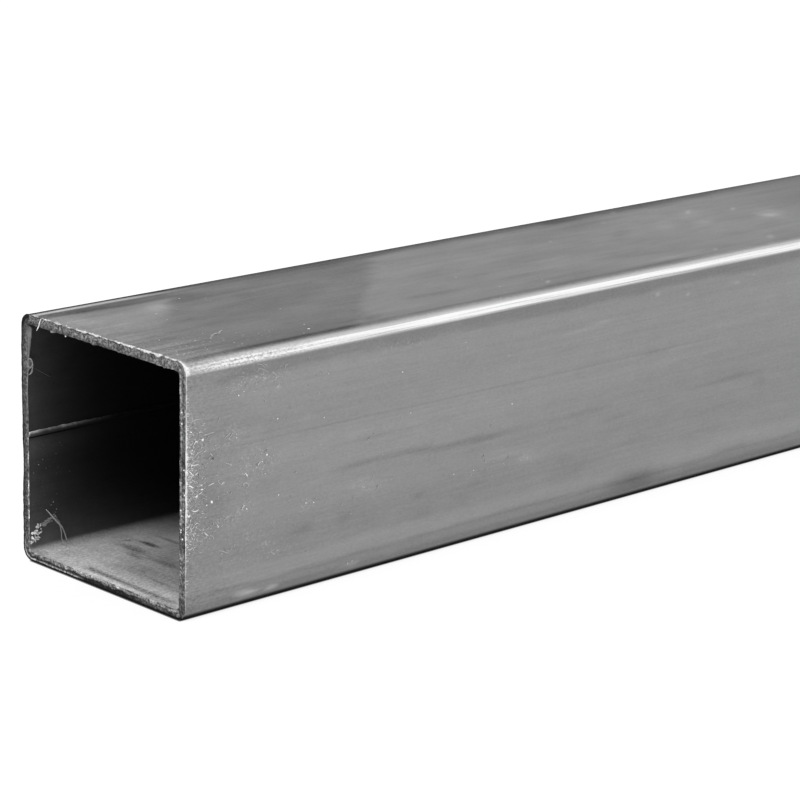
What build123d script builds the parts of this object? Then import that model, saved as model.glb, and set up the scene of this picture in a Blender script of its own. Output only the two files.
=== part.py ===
from build123d import *
import os

# A length of welded square steel tube, lying on one of its flat sides.
# Millimetres. X runs along the tube, Z is up. The origin is the middle of the
# underside, so the two sawn ends are at X = -length/2 and X = +length/2.

# ---- driving dimensions ----
outer_width = 40.0      # across the flats, both ways
wall = 1.5              # wall thickness of the flats
length = 1000.0         # sold length
outer_radius = 2.0      # outside corner radius
inner_radius = 0.8      # inside corner radius; the corners come out a little thicker
weld_height = 20.7      # height of the inside weld bead above the underside
weld_width = 0.8        # width of the bead where it stands on the wall
weld_proud = 0.35       # how far the bead stands off the inside of the wall

# ---- derived ----
inner_width = outer_width - 2 * wall
middle = outer_width / 2
inner_face = inner_width / 2          # inside of the wall that carries the seam
bead_sunk = 0.10                      # the bead's oval is buried this deep in the wall
bead_half_y = weld_proud + bead_sunk
# half height of the oval, so that it is weld_width wide where it leaves the wall
bead_half_z = (weld_width / 2) / (1 - (bead_sunk / bead_half_y) ** 2) ** 0.5

os.makedirs("parts", exist_ok=True)

with BuildPart() as square_tube:
    # the section, drawn at the near sawn end
    with BuildSketch(Plane.YZ.offset(-length / 2)):
        with Locations((0, middle)):
            # outside of the section: square with rolled corners
            RectangleRounded(outer_width, outer_width, outer_radius)
            # the open bore, with tighter corners
            RectangleRounded(inner_width, inner_width, inner_radius, mode=Mode.SUBTRACT)
        # the bead left along the seam, on the inside of the +Y wall
        with Locations((inner_face + bead_sunk, weld_height)):
            Ellipse(bead_half_y, bead_half_z)
    # the same section all along
    extrude(amount=length)

square_tube.part.label = "square_tube"
export_step(square_tube.part, "parts/square_tube.step")

print("volume mm3", round(square_tube.part.volume, 1))
print("mass kg at 7850 kg/m3", round(square_tube.part.volume * 7.85e-6, 4))
print("solids", len(square_tube.part.solids()), "faces", len(square_tube.part.faces()))
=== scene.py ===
import math
import random

import bmesh
import bpy
import numpy as np
from mathutils import Matrix, Vector


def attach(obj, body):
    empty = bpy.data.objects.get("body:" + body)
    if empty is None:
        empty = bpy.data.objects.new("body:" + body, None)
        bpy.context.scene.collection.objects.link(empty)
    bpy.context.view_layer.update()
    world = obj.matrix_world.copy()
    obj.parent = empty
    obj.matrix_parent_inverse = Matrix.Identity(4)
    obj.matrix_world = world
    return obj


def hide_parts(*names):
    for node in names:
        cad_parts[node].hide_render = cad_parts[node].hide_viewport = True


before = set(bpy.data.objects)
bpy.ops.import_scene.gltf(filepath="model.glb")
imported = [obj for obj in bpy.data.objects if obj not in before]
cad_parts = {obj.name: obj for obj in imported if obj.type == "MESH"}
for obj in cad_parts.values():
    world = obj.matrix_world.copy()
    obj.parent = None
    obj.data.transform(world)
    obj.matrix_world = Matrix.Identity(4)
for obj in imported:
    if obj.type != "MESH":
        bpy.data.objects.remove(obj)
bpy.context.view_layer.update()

scene = bpy.context.scene

# ---------------------------------------------------------------------------
# The tube's own sizes, in millimetres. The near sawn end is at X = -HALF.
# ---------------------------------------------------------------------------
WIDTH = 40.0
WALL = 1.5
HALF = 500.0
R_OUT = 2.0
R_IN = 0.8
BEAD_Z = 20.7        # height of the seam bead inside the +Y wall
BEAD_W = 0.8
BEAD_H = 0.35
MM = 0.001


# ---------------------------------------------------------------------------
# Seeded smooth noise for shaping the mesh
# ---------------------------------------------------------------------------
def _lattice(ix, iy, iz, seed):
    h = (ix * 374761393 + iy * 668265263 + iz * 1103515245 + seed * 1274126177) & 0xFFFFFFFF
    h = ((h ^ (h >> 13)) * 1274126177) & 0xFFFFFFFF
    h = h ^ (h >> 16)
    return h / 4294967295.0 * 2.0 - 1.0


def noise3(x, y, z, seed=0):
    x, y, z = np.broadcast_arrays(np.asarray(x, float), np.asarray(y, float), np.asarray(z, float))
    fx, fy, fz = np.floor(x), np.floor(y), np.floor(z)
    ix, iy, iz = fx.astype(np.int64), fy.astype(np.int64), fz.astype(np.int64)
    tx, ty, tz = x - fx, y - fy, z - fz
    sx, sy, sz = (t * t * t * (t * (t * 6 - 15) + 10) for t in (tx, ty, tz))
    out = 0.0
    for dx in (0, 1):
        for dy in (0, 1):
            for dz in (0, 1):
                w = (sx if dx else 1 - sx) * (sy if dy else 1 - sy) * (sz if dz else 1 - sz)
                out = out + w * _lattice(ix + dx, iy + dy, iz + dz, seed)
    return out


def fbm3(x, y, z, seed=0, octaves=3, gain=0.5):
    total, amp, norm = 0.0, 1.0, 0.0
    for k in range(octaves):
        f = 2.0 ** k
        total = total + amp * noise3(np.asarray(x) * f, np.asarray(y) * f, np.asarray(z) * f, seed + 17 * k)
        norm += amp
        amp *= gain
    return total / norm


def smooth(a, b, v):
    t = np.clip((np.asarray(v, float) - a) / (b - a), 0, 1)
    return t * t * (3 - 2 * t)


def between(v, a, b, soft):
    return smooth(a - soft, a + soft, v) * smooth(b + soft, b - soft, v)


def hump(v, c, w):
    return smooth(w, 0.0, np.abs(v - c))


# ---------------------------------------------------------------------------
# One mesh, gathered from parts
# ---------------------------------------------------------------------------
class Mesh:
    """Vertices in mm, faces, a material number for each face and paint values for each vertex:
    bare is how much bright uncovered metal shows, with painted highlights on the arris and the seam bead in it, level
    the reflectance of the sawn face, with some painted light and shade in it, tone lightens or darkens the outer skin,
    partly as painted shade, fleck is how thickly fine crumbs lie on it."""

    PAINT = ("bare", "level", "tone", "fleck")

    def __init__(self):
        self.v, self.f, self.m = [], [], []
        self.paint = {k: [] for k in self.PAINT}
        self.count = 0

    def add(self, verts, faces, mat, **paint):
        verts = np.asarray(verts, float).reshape(-1, 3)
        n = len(verts)
        base = self.count
        self.v.append(verts)
        for k in self.PAINT:
            v = np.asarray(paint.get(k, 0.15 if k == "level" else 0.0), float)
            self.paint[k].append(np.broadcast_to(v.reshape(-1) if v.ndim else v, (n,)).copy())
        self.f.extend([tuple(int(i) + base for i in f) for f in faces])
        self.m.extend([mat] * len(faces) if np.isscalar(mat) else list(mat))
        self.count += n
        return base

    def build(self, name, materials):
        mesh = bpy.data.meshes.new(name)
        v = np.concatenate(self.v) * MM
        mesh.from_pydata(v.tolist(), [], self.f)
        for m in materials:
            mesh.materials.append(m)
        mesh.polygons.foreach_set("material_index", np.array(self.m, np.int32))
        for label, data in self.paint.items():
            a = mesh.attributes.new(label, "FLOAT", "POINT")
            a.data.foreach_set("value", np.concatenate(data).astype(np.float32))
        bm = bmesh.new()
        bm.from_mesh(mesh)
        bmesh.ops.recalc_face_normals(bm, faces=bm.faces[:])
        bm.to_mesh(mesh)
        bm.free()
        mesh.polygons.foreach_set("use_smooth", np.ones(len(mesh.polygons), bool))
        mesh.update()
        return mesh


# material numbers
OUTER, INNER, CUT, BURR, EDGE = 0, 1, 2, 3, 4

# ---------------------------------------------------------------------------
# The section: matching points round the outside and the inside
# ---------------------------------------------------------------------------
N_FLAT, N_CORNER = 176, 16          # fine divisions of each flat and corner
STEP_FLAT, STEP_CORNER = 8, 2       # every n-th of them is kept away from the ends


def section():
    half = WIDTH / 2
    out, inn, nor, side, t_side = [], [], [], [], []
    # bottom, -Y side, top, +Y side: start, direction and outward normal of each flat
    flats = [((1, -1), (-1, 0), (0, -1)), ((-1, -1), (0, 1), (-1, 0)), ((-1, 1), (1, 0), (0, 1)), ((1, 1), (0, -1), (1, 0))]
    for k, (corner, run, n) in enumerate(flats):
        for radius, inset, store in ((R_OUT, 0.0, out), (R_IN, WALL, inn)):
            h = half - inset
            a = np.array(corner, float) * h + np.array(run) * radius
            b = a + np.array(run) * (2 * h - 2 * radius)
            c = b + np.array(n, float) * -radius       # centre of the corner that follows
            for i in range(N_FLAT):
                store.append(a + (b - a) * i / N_FLAT)
            for i in range(N_CORNER):
                ang = math.radians(90.0 * i / N_CORNER)
                store.append(c + radius * (np.array(n) * math.cos(ang) + np.array(run) * math.sin(ang)))
        for i in range(N_FLAT):
            nor.append(np.array(n, float)); side.append(k); t_side.append(i / N_FLAT)
        for i in range(N_CORNER):
            ang = math.radians(90.0 * i / N_CORNER)
            nor.append(np.array(n) * math.cos(ang) + np.array(run) * math.sin(ang)); side.append(k + 4); t_side.append(i / N_CORNER)
    out, inn, nor = np.array(out), np.array(inn), np.array(nor)
    out[:, 1] += half
    inn[:, 1] += half
    return out, inn, nor, np.array(side), np.array(t_side)


S_OUT, S_IN, S_NOR, S_SIDE, S_T = section()
N = len(S_OUT)
KEEP = np.array([i for i in range(N) if (i % (N_FLAT + N_CORNER) < N_FLAT and (i % (N_FLAT + N_CORNER)) % STEP_FLAT == 0)
                 or (i % (N_FLAT + N_CORNER) >= N_FLAT and (i % (N_FLAT + N_CORNER) - N_FLAT) % STEP_CORNER == 0)])
S_LEN = np.concatenate([[0.0], np.cumsum(np.linalg.norm(np.roll(S_OUT, -1, 0) - S_OUT, axis=1))[:-1]])
PERIMETER = S_LEN[-1] + np.linalg.norm(S_OUT[0] - S_OUT[-1])
BOTTOM, FRONT, TOP, BACK = 0, 1, 2, 3


def settle():
    """The rolled section isn't quite true: it leans and swells by a tenth of a millimetre, the same all along."""
    y, z = S_OUT[:, 0].copy(), S_OUT[:, 1].copy()
    high, seam = smooth(36.0, 38.5, z), smooth(18.5, 19.5, y)
    # the corner over the seam wall stands proud, the flat beside it dips, and the top wall thins towards it
    S_OUT[:, 1] += high * (0.12 * smooth(12.0, 17.8, y) - 0.06 * between(y, 5.5, 11.0, 2.0))
    S_IN[:, 1] += high * 0.12 * smooth(-11.0, -3.0, y)
    S_OUT[:, 0] += seam * (0.08 * between(z, 26.0, 37.0, 3.0) - 0.17 * between(z, 13.5, 18.5, 2.0))
    S_IN[:, 0] += seam * 0.05 * between(z, 26.0, 37.0, 3.0) - smooth(-19.0, -20.0, y) * 0.10 * between(z, 5.0, 36.0, 2.0)


settle()
# the two rolled corners that turn away from the light get a dull material painted dark: painted shade
S_MAT = np.where((S_SIDE == BOTTOM + 4) | (S_SIDE == TOP + 4), EDGE, OUTER)


def on_side(k):
    """How much each section point belongs to flat k, fading out round its corners."""
    return ((S_SIDE == k) | (S_SIDE == k + 4) & (S_T < 0.5) | (S_SIDE == (k + 3) % 4 + 4) & (S_T >= 0.5)).astype(float)


def teeth(seed, pitch, sharp=1.0):
    """Irregular teeth round the section, 0 to 1, that close on themselves."""
    a = 2 * math.pi * S_LEN / PERIMETER
    r = PERIMETER / (2 * math.pi) / pitch
    v = noise3(np.cos(a) * r, np.sin(a) * r, 0.0, seed) * 0.65 + noise3(np.cos(a) * r * 2.3, np.sin(a) * r * 2.3, 5.0, seed + 3) * 0.35
    return np.clip(0.5 + v * 0.9, 0, 1) ** sharp


def smooth_round(v, steps):
    for _ in range(steps):
        v = 0.25 * np.roll(v, 1) + 0.5 * v + 0.25 * np.roll(v, -1)
    return v


def bumps(v, places):
    """Sum of soft humps (centre, height, half width) at positions v."""
    r = np.zeros(len(v))
    for c, h, w in places:
        r += h * np.exp(-((v - c) / w) ** 2)
    return r


# the shingles of burr along the top of the near cut: where each starts and ends across the tube, and its height
SHINGLES = ((17.3, 15.6, 0.45), (14.8, 13.3, 0.62), (11.6, 9.9, 0.60), (8.8, 7.5, 0.42), (6.3, 3.7, 0.92), (3.1, 0.7, 0.80), (-0.2, -1.5, 0.60), (-2.1, -4.5, 0.80),
            (-4.8, -7.7, 1.0), (-8.05, -9.25, 0.70), (-9.5, -11.6, 0.92), (-11.9, -14.1, 1.08), (-14.75, -15.9, 0.60), (-16.2, -17.7, 0.80))


def end_fields(near):
    """Burr sizes in mm round the outer and inner edge of a sawn end, how far bright metal runs in from the cut,
    and what share of the top wall's sawn face the burr covers."""
    seed = 11 if near else 71
    z = S_OUT[:, 1]
    y = S_OUT[:, 0]
    mid = np.clip(1 - np.abs(z / WIDTH - 0.50) / 0.34, 0, 1)
    top, front, back, bottom = on_side(TOP), on_side(FRONT), on_side(BACK), on_side(BOTTOM)
    # along the top the burr stands up in shingles, each thicker towards the front corner
    if near:
        saw = sum(h * between(y, b, a, 0.12) * (0.35 + 0.65 * np.clip((a - y) / (a - b), 0, 1)) for a, b, h in SHINGLES)
        saw = saw * (0.80 + 0.35 * noise3(y / 0.5, 3.0, 0.0, seed + 42))
    else:
        phase = y / -2.4 + 0.9 * noise3(y / 4.0, 0.0, 0.0, seed + 40)
        saw = (phase - np.floor(phase)) ** 1.3 * (0.35 + 0.65 * np.clip(0.5 + noise3(np.floor(phase) * 1.7, 0.5, 0.0, seed + 41), 0, 1))
    rolled = ((S_SIDE == FRONT + 4) & (S_T > 0.25)).astype(float)
    o = top * (0.02 + 0.19 * saw + 0.07 * teeth(seed, 0.45, 2.2)) + rolled * (0.05 + 0.20 * teeth(seed + 15, 0.35, 1.2)) + front * (0.07 + (0.05 + 0.18 * mid) * teeth(seed + 1, 0.30, 1.8)) + back * 0.05 * teeth(seed + 2, 0.6, 1.5)
    i = (top * (0.02 + 0.11 * teeth(seed + 5, 0.8, 2.2)) + front * (0.01 + (0.02 + 0.05 * mid) * teeth(seed + 6, 0.4, 2.0))
         + back * (0.05 + 0.10 * teeth(seed + 7, 0.9, 1.6)) + bottom * (0.02 + 0.12 * teeth(seed + 8, 0.5, 1.6)))
    run = (top * (0.72 * saw + 0.16 * teeth(seed + 12, 0.6, 2.2)) + rolled * (0.15 + 0.5 * teeth(seed + 16, 0.4, 1.5)) + front * (0.17 + 0.13 * between(z, 17, 31, 2) + (0.10 + 0.30 * mid) * teeth(seed + 13, 0.40, 2.0))
           + back * 0.1 * teeth(seed + 14, 0.8) + bottom * 0.05)
    if near:
        # the few longer teeth that hang from the top wall's inner edge
        i += top * bumps(y, ((12.5, 0.34, 0.16), (12.0, 0.16, 0.35), (8.9, 0.20, 0.20), (-15.2, 0.30, 0.14), (2.0, 0.12, 0.5), (-6.5, 0.12, 0.35)))
    white = top * saw * (0.25 + 0.08 * noise3(y / 0.45, 7.0, 0.0, seed + 43)) - 0.02
    return smooth_round(np.clip(o, 0, 0.50), 1), smooth_round(i, 1), smooth_round(run, 1), smooth_round(white, 1)


def cut_levels(near, rows):
    """Reflectance of the sawn face, one row for each step across the wall from outside to inside."""
    seed = 40 if near else 140
    y, z = S_OUT[:, 0], S_OUT[:, 1]
    a = 2 * math.pi * S_LEN / PERIMETER
    rr = PERIMETER / (2 * math.pi)
    cx, cy = np.cos(a) * rr, np.sin(a) * rr
    top, front, back, bottom = on_side(TOP), on_side(FRONT), on_side(BACK), on_side(BOTTOM)
    top_back = smooth(17.5, 18.6, y) * smooth(37.5, 38.6, z)
    top_front = smooth(-17.5, -18.6, y) * smooth(37.5, 38.6, z)
    out = []

    def at(w, centre, wide):
        return math.exp(-((w - centre) / wide) ** 2)

    for w in rows:
        level_walls = np.clip(top + bottom, 0, 1)
        fine = noise3(cx / 0.46, cy / 0.46, w * 6.0, seed) * level_walls + noise3(cx / 0.28, cy / 0.28, w * 3.6, seed + 7) * (1 - level_walls)
        mid = noise3(cx / 0.8, cy / 0.8, w * 2.0, seed + 1)
        wide = noise3(cx / 3.0, cy / 3.0, 0.0, seed + 2)
        ragged = noise3(cx / 1.4, cy / 1.4, 3.0, seed + 5)
        # a thin painted shadow under the bright burr, then plain sawn metal, darker towards the bore
        t = top * 0.155 * (1 - 0.92 * at(w, 0.12, 0.055) * smooth(-0.25, 0.25, ragged)) * (1 - 0.42 * smooth(0.62, 0.95, w) * smooth(-12, -2, y))
        # beside the seam wall the outer part of the face is dark and its inner edge catches the light
        patch = smooth(-0.2, 0.4, ragged) * 0.42 + 0.06
        lit = smooth(33, 27, z) * (0.4 + 0.6 * smooth(20, 15, z)) * (1 + 0.7 * between(z, 3.5, 13, 1.5)) if near else 0.4
        t = t + back * (0.004 + 0.018 * smooth(0.05, 0.12, w) + 0.045 * smooth(0.10, 0.25, w) + 0.035 * smooth(0.45, 0.75, w) + smooth(0.78, 0.93, w) * patch * lit)
        f = (0.150 - 0.055 * between(z, 22, 27, 3)) * (1 - 0.48 * smooth(4.2, 2.2, z)) * (1 + 0.30 * smooth(0.66, 0.80, w))
        f = f * (1 - 0.50 * at(w, 0.44, 0.10) * smooth(19, 23, z)) * (1 + 0.45 * at(w, 0.80, 0.10) * smooth(12, 18, z))
        f = f * (1 - 0.50 * between(z, 10.8, 15.0, 1.0)) * (1 - 0.72 * smooth(0.84, 0.95, w) * between(z, 12, 31, 2))
        t = t + front * (f * (1 - 0.80 * at(w, 0.13, 0.08) * smooth(34, 28, z) * smooth(8.5, 11.5, z)) * (1 - 0.20 * at(w, 0.52, 0.12)) + smooth(0.86, 1.0, w) * (0.22 if near else 0.12) * smooth(12, 15, z) * smooth(29, 25, z) * smooth(0.15, 0.5, mid))
        # underneath: a black outer line, a bright scored one on the seam side, ragged dark metal towards the bore
        scored = at(w, 0.265, 0.070) * 0.50 * (0.85 + 0.2 * smooth(-0.3, 0.5, mid))
        t = t + scored * 0.75 * back * smooth(3.4, 2.0, z)
        scored = scored * smooth(4.0, 8.0, y)
        b = 0.002 + (0.011 + 0.045 * smooth(-6.5, -11, y) + 0.015 * smooth(4, 8, y)) * smooth(0.18, 0.28, w) + scored
        b = b + 0.17 * smooth(-0.05, 0.05, w - 0.64 - 0.09 * ragged - 0.06 * mid) * (0.8 + 0.5 * smooth(-0.3, 0.3, mid))
        b = b + 0.06 * between(w, 0.30, 0.62, 0.08) * smooth(0.0, 0.4, mid) * smooth(-4, -11, y)
        # in the middle the lip is a little brighter
        b = b + (0.13 if near else 0.0) * smooth(0.74, 0.84, w) * between(y, -6.5, 7.5, 1.0) * (0.85 + 0.3 * smooth(-0.3, 0.3, mid))
        t = t + bottom * b
        t = t * (1 - 0.40 * top_back) * (1 - 0.985 * top_back * smooth(0.46, 0.34, w)) * (1 + 0.15 * top_front)
        # the outline is black round both lower corners
        t = t * (1 - 0.85 * smooth(0.16, 0.10, w) * smooth(5.0, 2.5, z) * smooth(10, 17, y))
        t = t * (1 + 0.68 * fine + 0.22 * mid + 0.12 * wide)
        out.append(np.clip(t, 0.002, 0.85))
    return np.array(out)


# Painted shapes on the front side, in tube widths from the cut and from the underside:
# centre, half length, half height, turn in degrees, amount
FRONT_SHAPES = (
    # the long dark streak and its core, and the thinner ones round it
    (1.30, 0.443, 0.70, 0.022, -1, -0.20), (0.88, 0.449, 0.16, 0.018, 0, -0.13), (1.62, 0.437, 0.32, 0.019, 0, -0.08), (2.08, 0.432, 0.32, 0.020, 0, -0.15),
    (3.12, 0.430, 0.34, 0.022, 0, -0.17), (3.34, 0.385, 0.06, 0.03, 0, -0.10), (0.95, 0.549, 0.30, 0.016, 0, -0.12), (1.25, 0.545, 0.2, 0.03, 0, -0.04),
    (2.40, 0.380, 0.17, 0.012, 0, -0.13), (2.27, 0.428, 0.08, 0.018, 0, -0.10), (3.05, 0.31, 0.3, 0.014, 0, -0.06),
    # mottled darker ground low down
    (1.40, 0.23, 1.15, 0.12, 0, -0.06), (0.57, 0.253, 0.06, 0.032, 0, -0.20), (0.53, 0.24, 0.16, 0.06, 0, -0.06), (0.80, 0.24, 0.07, 0.05, 30, -0.10),
    (0.92, 0.21, 0.06, 0.07, 0, -0.09), (1.21, 0.262, 0.07, 0.022, 0, -0.14), (1.22, 0.19, 0.12, 0.06, 0, -0.09), (1.53, 0.255, 0.08, 0.024, 0, -0.12),
    (1.45, 0.20, 0.10, 0.04, 0, -0.06), (2.08, 0.250, 0.10, 0.022, 0, -0.12), (2.10, 0.20, 0.20, 0.045, 0, -0.10), (2.45, 0.25, 0.20, 0.022, 0, -0.09),
    (0.12, 0.38, 0.14, 0.10, 0, -0.08), (0.17, 0.44, 0.10, 0.05, 0, -0.07), (0.13, 0.62, 0.04, 0.03, 0, -0.18), (0.10, 0.50, 0.12, 0.13, 0, -0.12), (0.03, 0.40, 0.05, 0.18, 0, -0.12),
    (0.20, 0.90, 0.10, 0.03, 0, -0.12), (0.30, 0.92, 0.12, 0.02, 0, -0.10),
    # the smudge by the bottom edge, and the ring-like mark
    (2.50, 0.085, 0.24, 0.080, 0, -0.30), (2.62, 0.625, 0.11, 0.022, 0, -0.13), (2.70, 0.640, 0.06, 0.014, 8, -0.10), (2.60, 0.690, 0.09, 0.014, 10, -0.05), (2.02, 0.73, 0.06, 0.02, 0, -0.06),
    # pale streaks and patches
    (2.12, 0.803, 0.28, 0.012, 1, 0.13), (2.23, 0.816, 0.08, 0.011, 2, 0.18), (2.60, 0.563, 0.16, 0.011, 0, 0.09), (2.90, 0.557, 0.08, 0.011, 0, 0.09), (2.72, 0.565, 0.06, 0.011, 0, 0.09),
    (1.68, 0.335, 0.18, 0.030, 0, 0.10), (1.84, 0.300, 0.10, 0.040, 0, 0.15), (2.02, 0.322, 0.07, 0.014, 0, 0.12), (3.12, 0.865, 0.10, 0.014, 0, 0.12),
    (0.86, 0.58, 0.08, 0.012, 0, 0.10), (0.90, 0.36, 0.20, 0.018, -5, 0.10), (0.68, 0.42, 0.07, 0.014, -10, 0.10), (0.88, 0.380, 0.06, 0.014, 0, 0.15), (1.0, 0.855, 0.55, 0.035, -3, 0.05),
    (0.34, 0.66, 0.05, 0.04, 0, 0.06), (0.22, 0.69, 0.06, 0.035, 0, 0.08), (0.62, 0.69, 0.06, 0.03, 0, 0.06), (0.35, 0.80, 0.25, 0.06, 0, 0.03),
)
# the same on the top, in tube widths from the cut and from the middle
TOP_SHAPES = (
    (1.13, 0.13, 0.20, 0.14, 42, -0.13), (0.50, 0.255, 0.13, 0.085, 35, 0.42), (0.12, 0.22, 0.16, 0.09, 0, 0.20), (0.42, 0.02, 0.040, 0.026, 0, -0.32), (0.435, -0.10, 0.030, 0.10, 0, -0.20),
    (0.20, 0.37, 0.18, 0.035, 0, -0.22), (0.30, 0.30, 0.08, 0.025, 0, -0.12), (0.25, -0.30, 0.25, 0.12, 0, -0.13), (0.20, -0.17, 0.10, 0.04, 20, -0.13), (0.80, -0.12, 0.22, 0.05, 0, -0.06),
    (0.80, 0.14, 0.35, 0.014, 0, 0.08), (0.90, 0.25, 0.5, 0.016, 0, 0.09), (1.50, 0.24, 0.14, 0.03, 0, -0.08), (1.55, -0.26, 0.30, 0.045, 0, -0.17), (1.40, -0.24, 0.08, 0.020, 0, -0.13),
    (1.95, -0.24, 0.28, 0.045, 0, -0.16), (2.80, -0.30, 0.34, 0.032, 0, -0.17), (2.60, -0.19, 0.14, 0.024, 0, -0.10), (2.15, -0.30, 0.3, 0.10, 0, -0.08), (2.35, 0.05, 0.35, 0.20, 30, -0.10),
    (2.98, 0.06, 0.22, 0.055, 38, -0.22), (3.00, 0.30, 0.30, 0.06, 0, -0.13), (3.25, 0.02, 0.26, 0.09, 35, 0.20), (3.47, 0.00, 0.12, 0.045, 40, 0.28), (3.55, 0.18, 0.16, 0.06, 38, 0.16), (3.85, -0.07, 0.16, 0.09, 38, 0.40),
    (2.75, -0.41, 0.32, 0.045, 0, 0.13), (1.25, -0.36, 0.20, 0.05, 0, 0.06), (1.01, -0.40, 0.075, 0.045, 0, -0.34), (0.90, -0.39, 0.10, 0.022, 0, -0.13), (1.75, -0.41, 0.3, 0.03, 0, -0.05),
)
# where fine crumbs and curls lie on the front side
CRUMB_SHAPES = (
    (0.34, 0.55, 0.15, 0.11, 0, 0.8), (0.22, 0.68, 0.10, 0.07, 0, 0.6), (0.34, 0.90, 0.20, 0.06, 0, 0.8), (0.25, 0.85, 0.06, 0.05, 0, 0.7), (0.28, 0.39, 0.10, 0.04, 20, 0.6),
    (0.62, 0.34, 0.07, 0.04, -35, 0.6), (0.12, 0.355, 0.14, 0.035, 10, 0.7), (0.45, 0.19, 0.07, 0.04, 0, 0.5), (0.46, 0.86, 0.08, 0.06, 0, 0.5), (0.90, 0.36, 0.10, 0.06, -20, 0.4),
    (1.82, 0.30, 0.13, 0.06, 0, 0.4), (0.35, 0.25, 0.35, 0.2, 0, 0.25), (1.1, 0.9, 0.3, 0.03, 0, 0.35),
)


def ovals(u, v, shapes):
    total = np.zeros(len(u))
    for cu, cv, ru, rv, turn, amount in shapes:
        c, s = math.cos(math.radians(turn)), math.sin(math.radians(turn))
        du, dv = u - cu * WIDTH, v - cv * WIDTH
        r = np.sqrt(((c * du + s * dv) / (ru * WIDTH)) ** 2 + ((-s * du + c * dv) / (rv * WIDTH)) ** 2)
        total += amount * smooth(1.0, 0.0, r)
    return total


def skin_paint(pts, nor):
    """Tone and crumbs of the outer skin at points of the mesh (mm), with their outward normals in Y and Z."""
    x, y, z = pts[:, 0] + HALF, pts[:, 1], pts[:, 2]
    W = WIDTH
    seen = smooth(190.0, 150.0, x)
    # the shapes are looked up at slightly shifted places, so that their edges wander
    sx = 1.7 * fbm3(x / 9.0, y / 4.5, z / 4.5, 201, 3)
    sy = 0.75 * fbm3(x / 9.0, y / 4.5, z / 4.5, 202, 3)
    f = smooth(-0.80, -0.98, nor[:, 0])
    t = smooth(0.80, 0.98, nor[:, 1])

    u, v = x + sx, z + sy * 0.8
    front = ovals(u, v, FRONT_SHAPES)
    # a darker strip under the bright corner; a pale one above a thin dark line near the foot
    front = front - 0.21 * smooth(35.6, 36.6, v) * (0.35 + 0.65 * smooth(2.0, 18.0, u))
    front = front + 0.07 * between(v, 4.2, 6.2, 0.9) - 0.16 * hump(v, 3.55, 0.45) - 0.10 * smooth(3.7, 3.2, v) + 0.05 * smooth(17.0, 26.0, z)
    foot = ovals(u, v, ((0.34, 0.050, 0.12, 0.020, 0, 0.60), (0.40, 0.045, 0.04, 0.014, 0, 0.3), (0.83, 0.052, 0.06, 0.018, 0, 0.4), (1.05, 0.05, 0.2, 0.014, 0, 0.12)))
    front = front + foot * smooth(-0.25, 0.25, fbm3(x / 1.6, z / 0.6, 0.0, 203, 3))
    # the same kind of streaks, less marked, where the photograph doesn't reach
    beyond_photo = -0.16 * smooth(0.25, 0.6, noise3(x / 85.0, z / 2.1, 9.0, 204)) + 0.08 * smooth(0.3, 0.7, noise3(x / 22.0, z / 1.0, 4.0, 205)) - 0.14 * smooth(35.6, 36.6, v) - 0.10 * smooth(3.7, 3.2, v)

    u, v = x + sx, y + sy
    past = smooth(-1.1, 1.1, u - 1.36 * W - 1.03 * v) * smooth(0.43 * W, 0.35 * W, v)
    pale = smooth(0.355 * W, 0.325 * W, v) * smooth(1.6, -1.2, u - 0.30 * W - 0.93 * v) * smooth(-0.14 * W, 0.16 * W, v)
    top = ovals(u, v, TOP_SHAPES) * 1.2
    top = top + 0.34 * past + 0.46 * pale - 0.06
    top = top - smooth(0.335 * W, 0.365 * W, v) * (0.08 + 0.16 * smooth(0.75 * W, 0.55 * W, u)) * (1 + 0.6 * fbm3(x / 2.5, y / 0.7, 0.0, 206, 3))
    top = top - 0.22 * smooth(0.375 * W, 0.405 * W, v) * smooth(0.5 * W, 0.7 * W, u)
    top = top + 2.1 * hump(y + 0.45 * smooth(14.0, 30.0, x), 16.95, 0.80) * smooth(0.90 * W, 0.35 * W, x)
    top = top - 0.30 * smooth(8.0, 12.0, v) * smooth(15.0, 13.8, v) * smooth(2.0, 7.0, x) * smooth(35.0, 26.0, x)
    # painted shade: a dark line along the top beside the bright front corner, darkest near the cut
    top = top - hump(y, -0.452 * W, 0.95) * (0.08 + 0.42 * between(x, 3.0, 37.0, 1.5) * (0.6 + 0.4 * smooth(10.0, 17.0, x)) + 0.18 * between(x, 37.0, 112.0, 6.0))
    top = top - 0.11 * smooth(-4.5, -9.0, y) * smooth(38.0, 52.0, x) * smooth(0.5, -0.5, fbm3(x / 18.0, y / 2.0, 1.0, 211, 2)) - 0.10 * smooth(-13.0, -15.5, y) * between(x, 12.0, 105.0, 8.0)
    top = top - 0.10 * smooth(13.0, 16.0, y) * smooth(60.0, 85.0, x) - 0.08 * between(x, 100.0, 122.0, 8.0) * smooth(-8.0, 0.0, y) + 0.06 * between(x, 128.0, 142.0, 8.0) * hump(y, 0.0, 6.0)
    top = top + 0.16 * fbm3(x / 12.0, y / 5.0, 2.0, 210, 3) + 0.10 * fbm3(x / 3.5, y / 1.6, 6.0, 212, 3)
    brush = smooth(-0.05, 0.55, fbm3(x / 34.0, y / 0.95, 3.0, 207, 3)) * smooth(18.0, 3.0, x)
    top = top + 0.34 * brush + 0.28 * (hump(y, 10.6, 0.5) * between(x, 1.2, 6.0, 1.5) + hump(y, 4.4, 0.5) * between(x, 1.6, 10.0, 2.0) + hump(y, -1.4, 0.5) * between(x, 1.6, 5.2, 1.5))
    top_beyond = -0.10 + 0.20 * fbm3(x / 60.0, y / 9.0, 5.0, 208, 3) - 0.14 * smooth(0.25, 0.6, noise3(x / 85.0, y / 2.3, 19.0, 209)) - 0.15 * smooth(0.40 * W, 0.43 * W, np.abs(y))

    tone = f * (front * seen + beyond_photo * (1 - seen)) + t * (top * seen + top_beyond * (1 - seen))

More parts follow.
